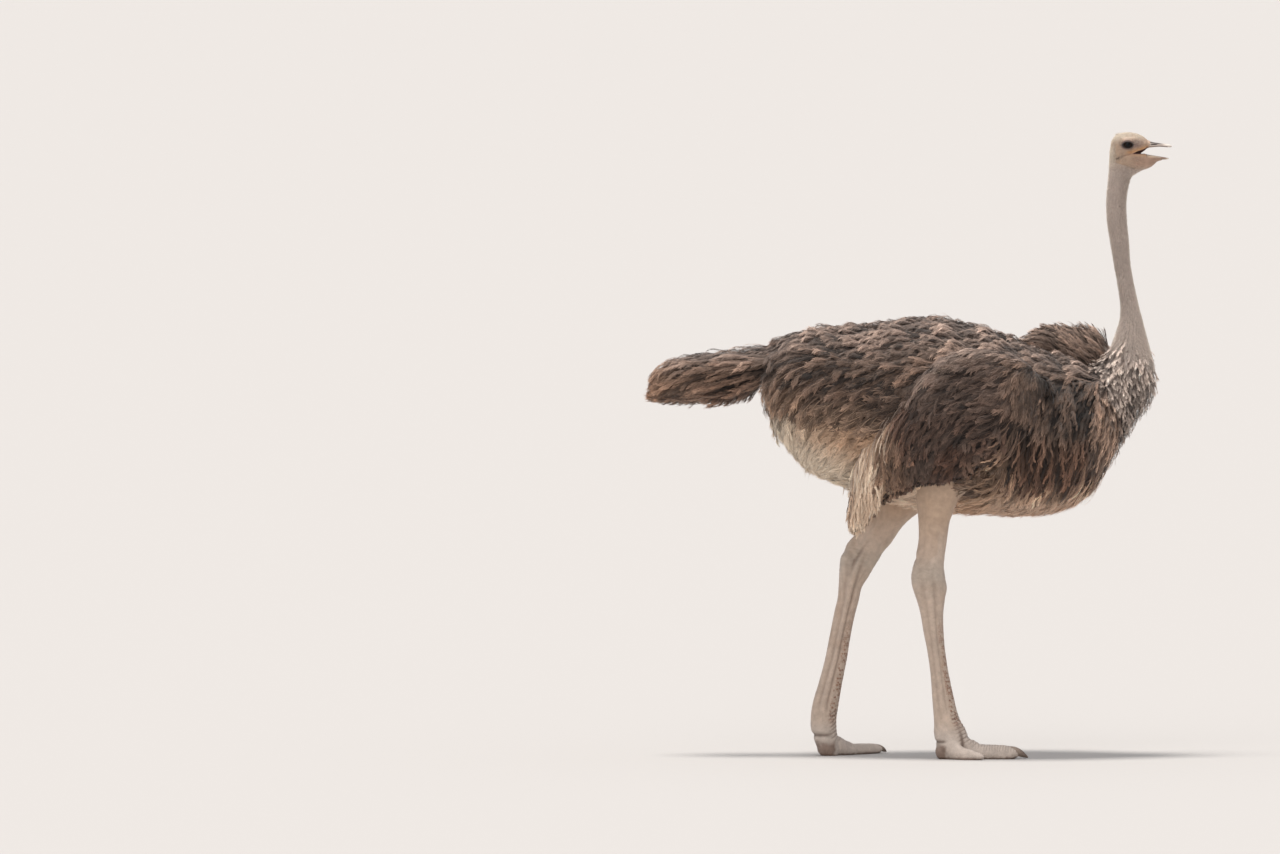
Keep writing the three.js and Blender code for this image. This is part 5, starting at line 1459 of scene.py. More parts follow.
def body_tones(p, n, root):
    """Tip and foot colours of the plumage where a feather ends."""
    x, y, z = p.T
    pale = paleness(p)
    white = whiteness(p)
    # upward-facing plumage high on the back, which gets painted top light
    top = smooth(0.25, 0.95, n[:, 2]) * smooth(1100, 1180, z)
    big = noise(p, 95, 71)
    small = noise(p, 34, 72)
    red = smooth(-0.4, 0.5, noise(p, 55, 73))
    front = smooth(250, 340, x)
    low = smooth(960, 860, z) * front
    nose = smooth(520, 570, x) * smooth(1100, 1000, z)
    # painted top light: feathers facing upwards get the paler top colours
    tip = mix(SIDE_TIP[None] * 1.06, TOP_TIP_LIT[None] * 1.06, top)
    tip = mix(tip, rgb(132, 98, 77)[None], 0.40 * red * (1 - top) * smooth(1180, 950, z))
    tip = mix(tip, BREAST_TIP[None], front * (1 - top))
    tip = mix(tip, LOW_TIP[None], low)
    tip = mix(tip, NOSE_TIP[None], nose)
    base = mix(SIDE_BASE[None], TOP_BASE_LIT[None], top)
    base = mix(base, BREAST_BASE[None], front * (1 - top))
    base = mix(base, LOW_BASE[None], np.maximum(low, nose))
    # a tan patch on the flank: partly its own tan colour, partly painted light against the wing's cast shadow
    tan_and_painted_light = np.exp(-(((x - 212) / 55) ** 2)) * smooth(930, 860, z)
    tip = mix(tip, rgb(246, 206, 172)[None], 0.9 * tan_and_painted_light)
    base = mix(base, rgb(118, 90, 70)[None], 0.75 * tan_and_painted_light)
    hem = smooth(115, 35, z - np.interp(x, PALE_X, PALE_Z)) * smooth(-60, -150, x)
    tip = mix(tip, rgb(222, 184, 154)[None], 0.9 * hem)
    # rump feathers under the tail: partly their own pale tan, partly painted light against the tail's shadow
    skirt = smooth(1130, 1075, z) * smooth(-335, -385, x)
    tip = mix(tip, rgb(200, 164, 136)[None], 0.9 * skirt)
    base = mix(base, rgb(100, 76, 60)[None], 0.6 * skirt)
    # painted shade: the breast in front of the wing, on faces not turned up, is painted darker
    breast_shade = (smooth(355, 400, x) * smooth(550, 505, x) * smooth(915, 975, z) * smooth(1170, 1130, z) * (1 - top))[:, None]
    tip, base = tip * (1 - 0.46 * breast_shade), base * (1 - 0.60 * breast_shade)
    tip = tip * (1 + 0.16 * big + 0.10 * small)[:, None]
    base = base * (1 + 0.16 * big)[:, None]
    down_tip = mix(BUFF[None], WHITE[None], white) * (1 + 0.06 * small)[:, None]
    down_base = mix(BUFF_DARK[None], WHITE_DARK[None], white)
    # painted light: the down beneath the wing, where its shadow falls, is painted paler
    shade = smooth(-90, -50, x) * smooth(150, 110, x) * smooth(820, 795, z)
    down_tip = mix(down_tip, rgb(254, 231, 209)[None], 0.95 * shade)
    down_base = mix(down_base, rgb(238, 210, 186)[None], 0.85 * shade)
    fringe = smooth(70, 20, z - np.interp(x, BODY_ROW.a[:13, 2], BODY_ROW.a[:13, 3])) * smooth(150, 260, x) * (n[:, 2] < 0.2)
    down_tip = mix(down_tip, rgb(232, 204, 182)[None], fringe)
    return mix(tip, down_tip, pale), mix(base, down_base, pale)


def clumps(across, along, lift, shade, seed, flow, painted_top_light=0.0, lo=0.25, hi=1.6):
    """Feathers gather into locks: those between two locks lie deeper and are painted darker as shade, and a lock gets a
    painted highlight on its upper side, as if lit from above.
    """

    def height(p, d):
        side = np.stack([-d[..., 2], np.zeros(len(p)), d[..., 0]], -1)
        u = (p * side).sum(-1)
        v = (p * d).sum(-1)
        q = np.stack([u / across, p[:, 1] / (across * 2.0), v / along], -1)
        return 0.7 * noise(q, 1.0, seed) + 0.3 * noise(q * 2.1 + 7.0, 1.0, seed + 1)

    def fn(p, root):
        d = flow(p)
        k = height(p, d)
        # painted light: a lock's upper side is painted paler and its lower side darker, as if lit from above
        up = k - height(p + np.array([0, 0, 0.4 * across]), d)
        kk = np.tanh(2.4 * k)
        # painted shade: feathers lying between locks are painted darker
        return lift * kk, np.clip(1 + shade * kk + painted_top_light * up, lo, hi)

    return fn


def build_coat():
    coat = Coat()
    many = 1.0
    grow = 1.0 / math.sqrt(many)
    over_trunk = near_tree([(WING_ROWS[1], 2.4, 10.5), (WING_ROWS[-1], 2.4, 10.5), (TAIL_ROW, 0.8, 4), (RUFF_ROW, 0.4, 6.0)])
    by_wing = near_tree([(WING_ROWS[1], 1.2, 10.5), (WING_ROWS[-1], 1.2, 10.5)])
    in_trunk = near_tree([(BODY_ROW, 0.2, 16)], 0.2, 60)
    fb = 1.0

    def nb(k):
        return int(k * fb) // 2 * 2

    # --- trunk: a layer underneath, painted darker as shade, then the tufts that show
    def keep_trunk(q, s, f):
        return over_trunk(q) > -16

    def shaded_under_tone(p, n, root):
        # painted shade: the hidden layer takes the plumage colours darkened
        tip, base = body_tones(p, n, root)
        return tip * 0.5, base * 0.8

    s, f, q = scatter(BODY_ROW, 0.05, 15.8, int(16000 * many), 19.0 * grow, keep_trunk, 9)
    c = len(s)
    r = np.random.default_rng(10)
    feathers(coat, "under", BODY_ROW, s, f, field=field_trunk, length=60 + 14 * r.random(c), width=16 + 3 * r.random(c), depth=np.full(c, 21.0), stand=r.normal(-11, 2, c),
             tone=shaded_under_tone, uv0=map_of(s, f, 0, 15.8), barbs=nb(16), barb_w=4.2, spread=(0.8, 0.3), camber=0.3, s_min=0.02, s_max=17.5, seed=8, bare=0.25, shaft=False, steps=4)

    def radius_trunk(q):
        back = smooth(1120, 1240, q[..., 2])
        rear = smooth(100, -250, q[..., 0])
        return grow * (16.2 - 1.6 * back + 1.6 * rear * (1 - back) - 1.8 * smooth(260, 340, q[..., 0]) - 5.8 * paleness(q))

    s, f, q = scatter(BODY_ROW, 0.05, 15.6, int(42000 * many), radius_trunk, keep_trunk, 11)
    _, _, _, n = BODY_ROW.frame(s, f)
    beside = by_wing(q)
    r = np.random.default_rng(12)
    strand = (smooth(262, 335, q[:, 0] + 25 * noise(q, 60, 85)) * smooth(0.80, 0.5, n[:, 2])) > 0.5
    # feathers hang: whatever starts a little above the edge still ends on the pale part
    end = q + 34 * unit(field_trunk(q, n))
    pale = paleness(end) >= 0.5
    back_clump = clumps(28, 40, 9.0, 0.74, 74, lambda p: np.tile(unit(np.array([-0.8, 0, -0.6])), (len(p), 1)), 1.0)
    breast_clump = clumps(14, 120, 12.0, 1.45, 76, lambda p: np.tile(unit(np.array([-0.12, 0, -1.0])), (len(p), 1)), lo=0.10, hi=1.95)
    belly_clump = clumps(20, 34, 2.6, 0.10, 78, lambda p: np.tile(unit(np.array([-0.2, 0, -1.0])), (len(p), 1)), 0.35)

    def even_clump(p, root):
        """Locks of the back, with their painted shade and painted highlight evened out just above the pale belly."""
        lift, v = back_clump(p, root)
        near = smooth(120, 50, p[:, 2] - np.interp(p[:, 0], PALE_X, PALE_Z)) * smooth(-60, -150, p[:, 0])
        return lift, 1 + (v - 1) * (1 - 0.7 * near)

    rump = ~pale & ~strand & (q[:, 0] < -270) & (q[:, 2] > 1085)
    skirt = ~pale & ~strand & ~rump & (q[:, 0] < -350)
    groups = {"back": ~pale & ~strand & ~rump & ~skirt, "rump": rump, "skirt": skirt, "breast": ~pale & strand, "belly": pale}
    for name, g in groups.items():
        c = int(g.sum())
        if not c:
            continue
        rr = r.random(c)
        groove = np.exp(-((beside[g].clip(0, 200) / 24) ** 2))
        if name in ("back", "rump", "skirt"):
            big = smooth(1240, 1120, q[g][:, 2])
            L = 52 + 20 * rr + 14 * big
            Wd = 8.0 + 2.4 * r.random(c) + 2.0 * big
            kw = dict(barbs=nb(50), barb_w=1.35, spread=(0.62, 0.10), camber=1.3, lip=9.0, ragged=0.3, bare=0.30, locks=2, clump=even_clump, pointed=0.45, sway=0.18, fan=0.22, wild=0.09, rim=0.6,
                      grade=1.9, low=0.22, tone_var=0.20)
            dep, st = np.full(c, 21.0), r.normal(2.2, 3.8, c) + 8 * groove * smooth(1030, 1080, q[g][:, 2])
            if name == "rump":
                L = L + 22
                kw.update(free_after=4, fall=0.05, lip=5.0)
            if name == "skirt":
                L = L + 20
                kw.update(free_after=3, fall=0.20, lip=3.0)
        elif name == "breast":
            L = 95 + 45 * rr
            Wd = 4.8 + 2.0 * r.random(c)
            near = np.exp(-(((q[g][:, 0] - 372) / 50) ** 2)) * smooth(930, 980, q[g][:, 2]) * smooth(1235, 1180, q[g][:, 2])
            kw = dict(barbs=nb(46), barb_w=1.35, spread=(0.42, 0.05), camber=1.0, lip=2.0, ragged=0.3, bare=0.15, clump=breast_clump, wave=4.6, steps=10, pointed=0.5, sway=0.06, rim=0.5, fan=0.16,
                      grade=1.5, low=0.18, tone_var=0.26)
            dep, st = np.full(c, 21.0), r.normal(-1.5, 3.6, c) + 13 * np.maximum(near, 0.8 * groove)
        else:
            L = 48 + 22 * rr
            Wd = 7.5 + 3 * r.random(c)
            kw = dict(barbs=nb(34), barb_w=1.1, spread=(0.34, 0.06), camber=0.6, lip=2.0, ragged=0.35, bare=0.12, clump=belly_clump, sway=0.14, twist=0.4, shaft=False, fan=0.2, tone_var=0.07)
            dep, st = np.full(c, 19.0), r.normal(-3.5, 2.4, c)
        feathers(coat, name, BODY_ROW, s[g], f[g], field=field_trunk, length=L, width=Wd, depth=dep, stand=st, tone=body_tones,
                 uv0=map_of(s[g], f[g], 0, 15.6), s_min=0.02, s_max=17.5, seed=13 + len(name), **kw)

    # --- short tufts over the shoulder, where the lines of back, breast and neck part
    def keep_shoulder(q, s, f):
        here = smooth(365, 395, q[..., 0]) * smooth(615, 585, q[..., 0]) * smooth(985, 1015, q[..., 2]) * smooth(1165, 1130, q[..., 2])
        return (here > 0.4) & (over_trunk(q) > -12)

    s, f, q = scatter(BODY_ROW, 10.0, 16.4, int(30000 * many), 8.6 * grow, keep_shoulder, 15)
    c = len(s)
    r = np.random.default_rng(16)
    groove = np.exp(-((by_wing(q).clip(0, 200) / 26) ** 2))
    feathers(coat, "breast", BODY_ROW, s, f, field=lambda p, n: np.stack([-0.42 + 0 * p[..., 0] + 0.16 * noise(p, 40, 95), 0 * p[..., 0], -1.0 + 0 * p[..., 0]], -1), length=44 + 24 * r.random(c) + 12 * groove, width=4.6 + 2 * r.random(c),
             depth=np.full(c, 19.0), stand=r.normal(0.5, 4.2, c) + 13 * groove, tone=body_tones, uv0=map_of(s, f, 0, 15.6), barbs=nb(34), barb_w=1.4, spread=(0.45, 0.08), camber=1.0, s_min=0.02, s_max=17.5, seed=17,
             ragged=0.3, bare=0.05, clump=breast_clump, steps=6, pointed=0.5, sway=0.12, rim=0.55, lip=3.0, fan=0.2, grade=1.5, low=0.2, tone_var=0.24)

    # --- ruff of the far shoulder
    s, f, q = scatter(RUFF_ROW, 0.05, 6.95, int(6000 * many), 9.6 * grow, lambda q, s, f: in_trunk(q) > -25, 21)
    c = len(s)
    r = np.random.default_rng(22)
    ruff_clump = clumps(15, 70, 6.0, 0.5, 80, lambda p: np.tile(unit(np.array([-1.0, 0, 0.75])), (len(p), 1)), 0.5)

    def ruff_tone(p, n, root):
        tip, base = body_tones(np.stack([np.minimum(p[:, 0], 240), p[:, 1], np.full(len(p), 1150.0)], -1), n * [1, 1, 0.4], root)
        # the ruff's tips are mixed half-way to the painted top-lit colour
        return mix(tip, TOP_TIP_LIT[None], 0.5) * (1 + 0.15 * noise(p, 30, 88))[:, None], base

    reach = np.clip((q[:, 0] - 318) * 1.1, 26, 400)
    _, _, _, n = RUFF_ROW.frame(s, f)
    sink = 10 * smooth(0.1, 0.6, n[:, 2]) * smooth(410, 450, q[:, 0]) * smooth(575, 545, q[:, 0])
    feathers(coat, "ruff", RUFF_ROW, s, f, field=field_ruff, length=np.minimum(60 + 34 * r.random(c), reach), width=4.2 + 2 * r.random(c), depth=np.full(c, 18.0), stand=r.normal(-4, 5.5, c) - sink,
             tone=ruff_tone, uv0=map_of(s, f, 0, 7), barbs=nb(38), barb_w=1.3, spread=(0.45, 0.08), camber=0.8, s_min=0.02, s_max=6.98, seed=23, lip=-5.0, bare=0.2, clump=ruff_clump,
             wave=2.6, stiff=0.8, fan=0.2, ragged=0.3, rim=0.55, grade=1.5, low=0.25, tone_var=0.2)

    k = int(120 * many)
    ss, ff = 0.4 + 6.2 * r.random(k), math.pi / 2 + r.normal(0, 0.5, k)
    pos = RUFF_ROW.point(ss, ff)
    ok = (pos[:, 0] > 400) & (in_trunk(pos) > -25)
    ss, ff, pos, k = ss[ok], ff[ok], pos[ok], int(ok.sum())
    tall = smooth(500, 590, pos[:, 0])
    feathers(coat, "ruff", RUFF_ROW, ss, ff, field=lambda p, n: np.stack([-1.0 + 0.5 * smooth(500, 590, p[..., 0]), 0.15 * noise(p, 20, 97), 0.9 + 0 * p[..., 0]], -1), length=34 + 18 * r.random(k) + 16 * tall,
             width=3.6 + 1.6 * r.random(k), depth=np.full(k, 18.0), stand=r.normal(-9, 3.0, k), tone=ruff_tone, uv0=map_of(ss, ff, 0, 7), barbs=nb(34), barb_w=1.2, spread=(0.40, 0.06), camber=0.6,
             s_min=0.02, s_max=6.98, seed=24, lip=0.0, bare=0.1, free_after=2, fall=0.03, fan=0.2, ragged=0.3, rim=0.55, grade=1.5, low=0.25, tone_var=0.2)

    # --- tail
    s, f, q = scatter(TAIL_ROW, 0.35, 7.95, int(9000 * many), 12.8 * grow, lambda q, s, f: in_trunk(q) > -34, 31)
    c = len(s)
    r = np.random.default_rng(32)
    reach = np.clip(q[:, 0] + 790, 26, 400)
    L = np.minimum(76 + 50 * r.random(c), reach)
    tail_clump = clumps(19, 62, 8.0, 0.58, 82, lambda p: np.tile(unit(np.array([-1.0, 0, -0.25])), (len(p), 1)), 0.7)

    def tail_tone(p, n, root):
        # painted top light: upward-facing tail feathers get the top colours, with paler feet
        up = smooth(0.1, 0.9, n[:, 2])
        tip = mix(SIDE_TIP[None] * 1.18, TOP_TIP_LIT[None] * 0.64, up) * (1 + 0.18 * noise(p, 40, 83))[:, None]
        tip = mix(tip, rgb(152, 110, 84)[None], 0.4 * smooth(-0.2, 0.6, noise(p, 60, 89)) * (1 - up))
        tip = mix(tip, rgb(190, 152, 124)[None], 0.6 * smooth(-715, -770, p[:, 0]))
        return tip, mix(SIDE_BASE[None], TOP_BASE_LIT[None], up)

    tail_kw = dict(tone=tail_tone, barbs=nb(42), barb_w=1.35, spread=(0.45, 0.08), s_min=0.1, s_max=7.7, bare=0.18, clump=tail_clump, wave=2.2, fan=0.18, ragged=0.28, rim=0.55, grade=1.3, low=0.25, tone_var=0.2)
    feathers(coat, "tail", TAIL_ROW, s, f, field=field_tail, length=L, width=6.0 + 2.5 * r.random(c), depth=np.full(c, 20.0), stand=r.normal(-1.0, 4.6, c),
             uv0=map_of(s, f, 0, 8), camber=0.9, seed=33, lip=4.0, stiff=0.7, **tail_kw)
    k = int(190 * many)
    ss = 1.2 + 6.2 * r.random(k)
    ff = 1.5 * math.pi + r.normal(0, 0.7, k)
    pos = TAIL_ROW.point(ss, ff)
    feathers(coat, "tail", TAIL_ROW, ss, ff, field=lambda p, n: np.stack([-1.0 + 0 * p[..., 0], 0 * p[..., 0], -0.36 + 0 * p[..., 0]], -1), length=np.minimum(26 + 28 * r.random(k) ** 2, np.clip(pos[:, 0] + 790, 20, 400)),
             width=6.0 + 2.5 * r.random(k), depth=np.full(k, 16.0), stand=r.normal(-2.5, 3.0, k), uv0=map_of(ss, ff, 0, 8), camber=0.6, seed=34, lip=2.0, free_after=3, fall=0.10, **tail_kw)

    # --- wings
    LOW_X = [-190, -160, -135, -105, -69, 27, 78, 104, 124, 162, 200, 235, 270, 292, 300, 500]
    LOW_Z = [690, 684, 700, 757, 800, 832, 826, 812, 842, 858, 884, 880, 862, 840, 500, 500]

    def within(q, n, L, fld, slack=0.0):
        """Shortens feathers that would pass the wing's lower outline."""
        d = unit(fld(q, n))
        for _ in range(24):
            e = q + d * L[:, None]
            low = np.interp(e[:, 0], LOW_X, LOW_Z) + slack
            L = np.where((e[:, 2] < low) & (L > 22), L * 0.92, L)
        return L

    for sd in (1, -1):
        row = WING_ROWS[sd]
        label = "left" if sd > 0 else "right"
        fld = field_wing(row)

        def rim_of(q):
            """1 along the wing's upper and front edge, where nothing overlaps from above."""
            top = np.interp(q[..., 0], [-60, 34, 120, 204, 282, 352, 402, 420], [1090, 1168, 1212, 1230, 1222, 1192, 1150, 1128])
            edge = np.maximum(smooth(74, 34, top - q[..., 2]), smooth(352, 382, q[..., 0]))
            return np.maximum(edge, smooth(215, 250, q[..., 0]) * smooth(1035, 1070, q[..., 2])) * smooth(-60, 40, q[..., 0])

        s, f, q = scatter(row, 0.05, 12.9, int(24000 * many), lambda q: grow * (11.8 - 4.4 * rim_of(q)), lambda q, s, f: in_trunk(q) > -10, 41 + sd)
        _, _, _, n = row.frame(s, f)
        r = np.random.default_rng(42 + sd)
        rear_x = np.interp(q[:, 2], REAR_Z, REAR_X)
        plume = (plume_edge(q) < 0.75 + 0.45 * r.random(len(q))) & (q[:, 2] < 1085 + 20 * r.normal(0, 1, len(q)))
        # long strands along the upper and rear edge, short tufts below them, hanging strands in front
        edge = smooth(95, 40, q[:, 0] - rear_x) * smooth(1130, 1060, q[:, 2]) + smooth(0.15, 0.5, n[:, 2])
        short = (rim_of(q) > 0.25 + 0.5 * r.random(len(q))) & ~plume
        front = (q[:, 0] + 25 * noise(q, 60, 85) > 285) & ~plume & ~short
        long = ((edge + 0.25 * noise(q, 40, 90)) > 0.5) & ~plume & ~front & ~short
        wing_clump = clumps(14, 100, 6.0, 0.52, 84 + sd, lambda p: unit(fld(p, p)), 0.4)
        plume_clump = clumps(12, 130, 4.0, 0.14, 88 + sd, lambda p: unit(fld(p, p)))
        tuft_clump = clumps(20, 46, 7.0, 0.56, 94 + sd, lambda p: unit(fld(p, p)), 0.7)

        def wing_tone(p, n, root):
            # painted top light: upward-facing wing feathers get paler tips and feet
            up = smooth(0.1, 0.8, n[:, 2]) * smooth(1020, 1120, p[:, 2])
            low = smooth(1060, 900, p[:, 2])
            tip = mix(WING_TIP[None], TOP_TIP_LIT[None] * 0.85, 0.8 * up) * (1 + 0.20 * noise(p, 45, 86))[:, None]
            tip = mix(tip, rgb(132, 90, 68)[None], 0.75 * low * smooth(-0.5, 0.4, noise(p, 50, 91)))
            tip = mix(tip, rgb(184, 148, 122)[None], 0.85 * smooth(2.1, 1.1, plume_edge(p)) * smooth(1000, 930, p[:, 2]))
            base = mix(WING_BASE[None], WING_BASE[None] * 1.2, up)
            # a tan patch low on the wing's front: partly its own tan colour, partly painted light against the wing's
            # cast shadow
            tan_and_painted_light = np.exp(-(((p[:, 0] - 205) / 42) ** 2)) * smooth(905, 860, p[:, 2])
            tip, base = mix(tip, rgb(204, 162, 132)[None], 0.55 * tan_and_painted_light), mix(base, rgb(104, 78, 61)[None], 0.5 * tan_and_painted_light)
            # painted shade: a patch low on the wing is painted darker
            lower_wing_shade = smooth(-45, -10, p[:, 0]) * smooth(140, 100, p[:, 0]) * smooth(935, 905, p[:, 2]) * smooth(815, 850, p[:, 2])
            return tip * (1 - 0.22 * lower_wing_shade)[:, None], base * (1 - 0.22 * lower_wing_shade)[:, None]

        def plume_tone(p, n, root):
            tip = np.tile(WHITE * 1.02, (len(p), 1)) * (1 + 0.10 * noise(p, 22, 92))[:, None]
            brown = smooth(0.0, 0.5, noise(p * [1, 1, 0.3], 15, 93)) * smooth(0.25, 0.7, plume_edge(p))
            tip = mix(tip, rgb(150, 116, 92)[None], 0.85 * brown)
            e = plume_edge(p)
            above = smooth(900, 965, p[:, 2]) * smooth(0.28, 0.52, e)
            under = smooth(800, 740, p[:, 2]) * smooth(-0.5, 0.4, noise(p * [1, 1, 0.3], 14, 98))
            tip = mix(tip, rgb(146, 117, 95)[None], np.clip(0.8 * above + 0.55 * under, 0, 0.85))
            return tip, mix(np.tile(BUFF, (len(p), 1)), rgb(120, 92, 74)[None], 0.6 * brown)

        g = front
        c = int(g.sum())
        feathers(coat, "breast", row, s[g], f[g], field=fld, length=80 + 45 * r.random(c), width=4.8 + 2.0 * r.random(c), depth=np.full(c, 14.0),
                 stand=r.normal(-1.5, 3.4, c), tone=body_tones, uv0=map_of(s[g], f[g], 0, 13), barbs=nb(44), barb_w=1.35, spread=(0.42, 0.05), camber=1.0, s_min=0.03, s_max=12.7,
                 seed=73 + sd, ragged=0.3, bare=0.15, clump=breast_clump, wave=4.6, steps=9, pointed=0.5, sway=0.06, rim=0.5, lip=2.0, fan=0.16, grade=1.5, low=0.18, tone_var=0.26)
        g = long
        c = int(g.sum())
        feathers(coat, "wing_" + label, row, s[g], f[g], field=fld, length=within(q[g], n[g], 95 + 50 * r.random(c), fld), width=4.4 + 2.0 * r.random(c), depth=np.full(c, 14.0),
                 stand=r.normal(-1.0, 3.2, c), tone=wing_tone, uv0=map_of(s[g], f[g], 0, 13), barbs=nb(40), barb_w=1.25, spread=(0.34, 0.05), camber=0.9, s_min=0.05, s_max=12.7,
                 seed=43 + sd, ragged=0.3, bare=0.12, clump=wing_clump, wave=2.6, steps=9, pointed=0.5, sway=0.10, rim=0.5, lip=1.5, fan=0.17, grade=1.2, low=0.25, tone_var=0.2)
        g = plume
        c = int(g.sum())
        feathers(coat, "plumes_" + label, row, s[g], f[g], field=fld, length=within(q[g], n[g], 95 + 55 * r.random(c), fld, -6), width=4.6 + 2.0 * r.random(c), depth=np.full(c, 14.0),
                 stand=r.normal(0.5, 2.8, c), tone=plume_tone, uv0=map_of(s[g], f[g], 0, 13), barbs=nb(44), barb_w=1.15, spread=(0.30, 0.05), camber=0.9, s_min=0.05, s_max=12.7,
                 seed=45 + sd, ragged=0.3, bare=0.10, clump=plume_clump, wave=2.6, steps=9, pointed=0.5, sway=0.09, rim=0.5, lip=1.5, fan=0.16, tone_var=0.10)
        g = short
        c = int(g.sum())
        rr = r.random(c)

        def short_tone(p, n, root):
            a, b = body_tones(p, n, root)
            tip, base = wing_tone(p, n, root)
            w = smooth(230, 330, p[:, 0])
            return mix(tip, a, w), mix(base, b, w)

        feathers(coat, "edge_" + label, row, s[g], f[g], field=fld, length=40 + 24 * rr, width=7.2 + 2.4 * r.random(c), depth=np.full(c, 13.0),
                 stand=r.normal(0.5, 3.0, c), tone=short_tone, uv0=map_of(s[g], f[g], 0, 13), barbs=nb(34), barb_w=1.5, spread=(0.5, 0.10), camber=1.0, s_min=0.03, s_max=12.7,
                 seed=83 + sd, ragged=0.3, bare=0.0, clump=tuft_clump, steps=6, pointed=0.4, sway=0.16, rim=0.6, lip=4.0, fan=0.24, wild=0.10, grade=1.3, low=0.3, tone_var=0.2, slope=0.6)
        g = ~long & ~plume & ~front & ~short
        c = int(g.sum())
        feathers(coat, "covert_" + label, row, s[g], f[g], field=fld, length=within(q[g], n[g], 60 + 26 * r.random(c), fld), width=6.6 + 2.4 * r.random(c), depth=np.full(c, 14.0),
                 stand=r.normal(0.0, 3.6, c), tone=wing_tone, uv0=map_of(s[g], f[g], 0, 13), barbs=nb(44), barb_w=1.3, spread=(0.55, 0.10), camber=1.15, s_min=0.05, s_max=12.7,
                 seed=53 + sd, ragged=0.3, bare=0.25, clump=tuft_clump, steps=7, pointed=0.45, sway=0.18, rim=0.6, lip=7.0, fan=0.24, locks=2, wild=0.10, grade=1.5, low=0.25, tone_var=0.2)
        # a ragged hem hanging from the lower edge
        k = int(70 * many)
        ss = 3.2 + 4.6 * r.random(k)
        ff = (2 * math.pi - 0.35 - 0.5 * r.random(k)) if sd > 0 else (math.pi + 0.35 + 0.5 * r.random(k))
        pos = row.point(ss, ff)
        down = lambda p, n: np.stack([-0.45 + 0 * p[..., 0], 0 * p[..., 0], -1.0 + 0 * p[..., 0]], -1)
        hang = np.minimum(20 + 24 * r.random(k) + 18 * np.exp(-(((pos[:, 0] - 112) / 22) ** 2)), within(pos, pos, np.full(k, 70.0), down, -10))
        feathers(coat, "hem_" + label, row, ss, ff, field=down, length=hang, width=5.5 + 2.5 * r.random(k), depth=np.full(k, 10.0), stand=r.normal(-1, 2.5, k), tone=wing_tone,
                 uv0=map_of(ss, ff, 0, 13), barbs=nb(36), barb_w=1.3, spread=(0.45, 0.08), camber=0.6, s_min=0.05, s_max=12.7, seed=63 + sd, bare=0.15, steps=6, free_after=2, fall=0.3, sway=0.15, fan=0.2)
        # bare pale shafts curving over the upper edge and down its rear
        k = 22
        ss = 3.6 + 6.4 * np.linspace(0, 1, k) + 0.2 * r.random(k)
        ff = (math.pi / 2 - 0.05 - 0.75 * r.random(k)) if sd > 0 else (math.pi / 2 + 0.05 + 0.75 * r.random(k))

        def pale_tone(p, n, root):
            return np.tile(rgb(176, 156, 140), (len(p), 1)), np.tile(rgb(120, 100, 88), (len(p), 1))

        feathers(coat, "shafts_" + label, row, ss, ff, field=fld, length=110 + 60 * r.random(k), width=np.full(k, 2.2), depth=np.full(k, 9.0), stand=r.normal(4.5, 1.5, k),
                 tone=pale_tone, uv0=map_of(ss, ff, 0, 13), barbs=nb(30), barb_w=0.9, spread=(0.3, 0.05), camber=0.8, s_min=0.05, s_max=12.7, seed=47 + sd, bare=0.1, steps=9, shaft=1.2, wave=1.0)

    # --- scale-like tufts at the base of the neck
    def keep_base(q, s, f):
        return over_trunk(q) > -10

    s, f, q = scatter(BODY_ROW, 14.2, 19.4, int(14000 * many), lambda q: grow * (8.6 - 1.6 * smooth(1120, 1220, q[..., 2])), keep_base, 51)
    _, _, _, n = BODY_ROW.frame(s, f)
    r = np.random.default_rng(52)
    edge = smooth(14.6, 15.8, s + 0.5 * noise(q, 30, 81))
    upper = smooth(17.6, 19.0, s)
    keepers = r.random(len(s)) < (0.15 + 0.85 * edge) * (1 - 0.75 * upper)
    s, f, q, n, edge, upper = s[keepers], f[keepers], q[keepers], n[keepers], edge[keepers], upper[keepers]
    c = len(s)

    def base_neck_tone(p, n_, root):
        tip = mix(NOSE_TIP[None], NECK_TUFT[None] * (1 + 0.14 * noise(p, 14, 82))[:, None], edge)
        base = mix(LOW_BASE[None], NECK_TUFT_DARK[None], edge)
        return tip, mix(base, NECK_SKIN[None], upper)

    L = (25 + 20 * r.random(c)) * (1 - 0.35 * upper)
    neck_clump = clumps(12, 30, 5.0, 0.50, 96, lambda p: np.tile(unit(np.array([-0.15, 0, -1.0])), (len(p), 1)), 0.3)
    feathers(coat, "neck_base", BODY_ROW, s, f, field=field_neckbase, length=L, width=(3.6 + 2.4 * r.random(c)) * (1 - 0.35 * upper), depth=inset_body(s) * 0.95,
             stand=r.normal(3.0, 4.2, c) * (1 - 0.5 * upper), tone=base_neck_tone, uv0=map_of(s, f, 14, 20), barbs=nb(22), barb_w=1.4, spread=(0.6, 0.10), camber=0.5,
             s_min=13.5, s_max=21, seed=53, shaft=False, steps=5, bare=0.15, pointed=0.5, ragged=0.35, rim=0.5, grade=1.5, low=0.2, tone_var=0.24, clump=neck_clump, sway=0.22, fan=0.24, wild=0.12)
    return coat


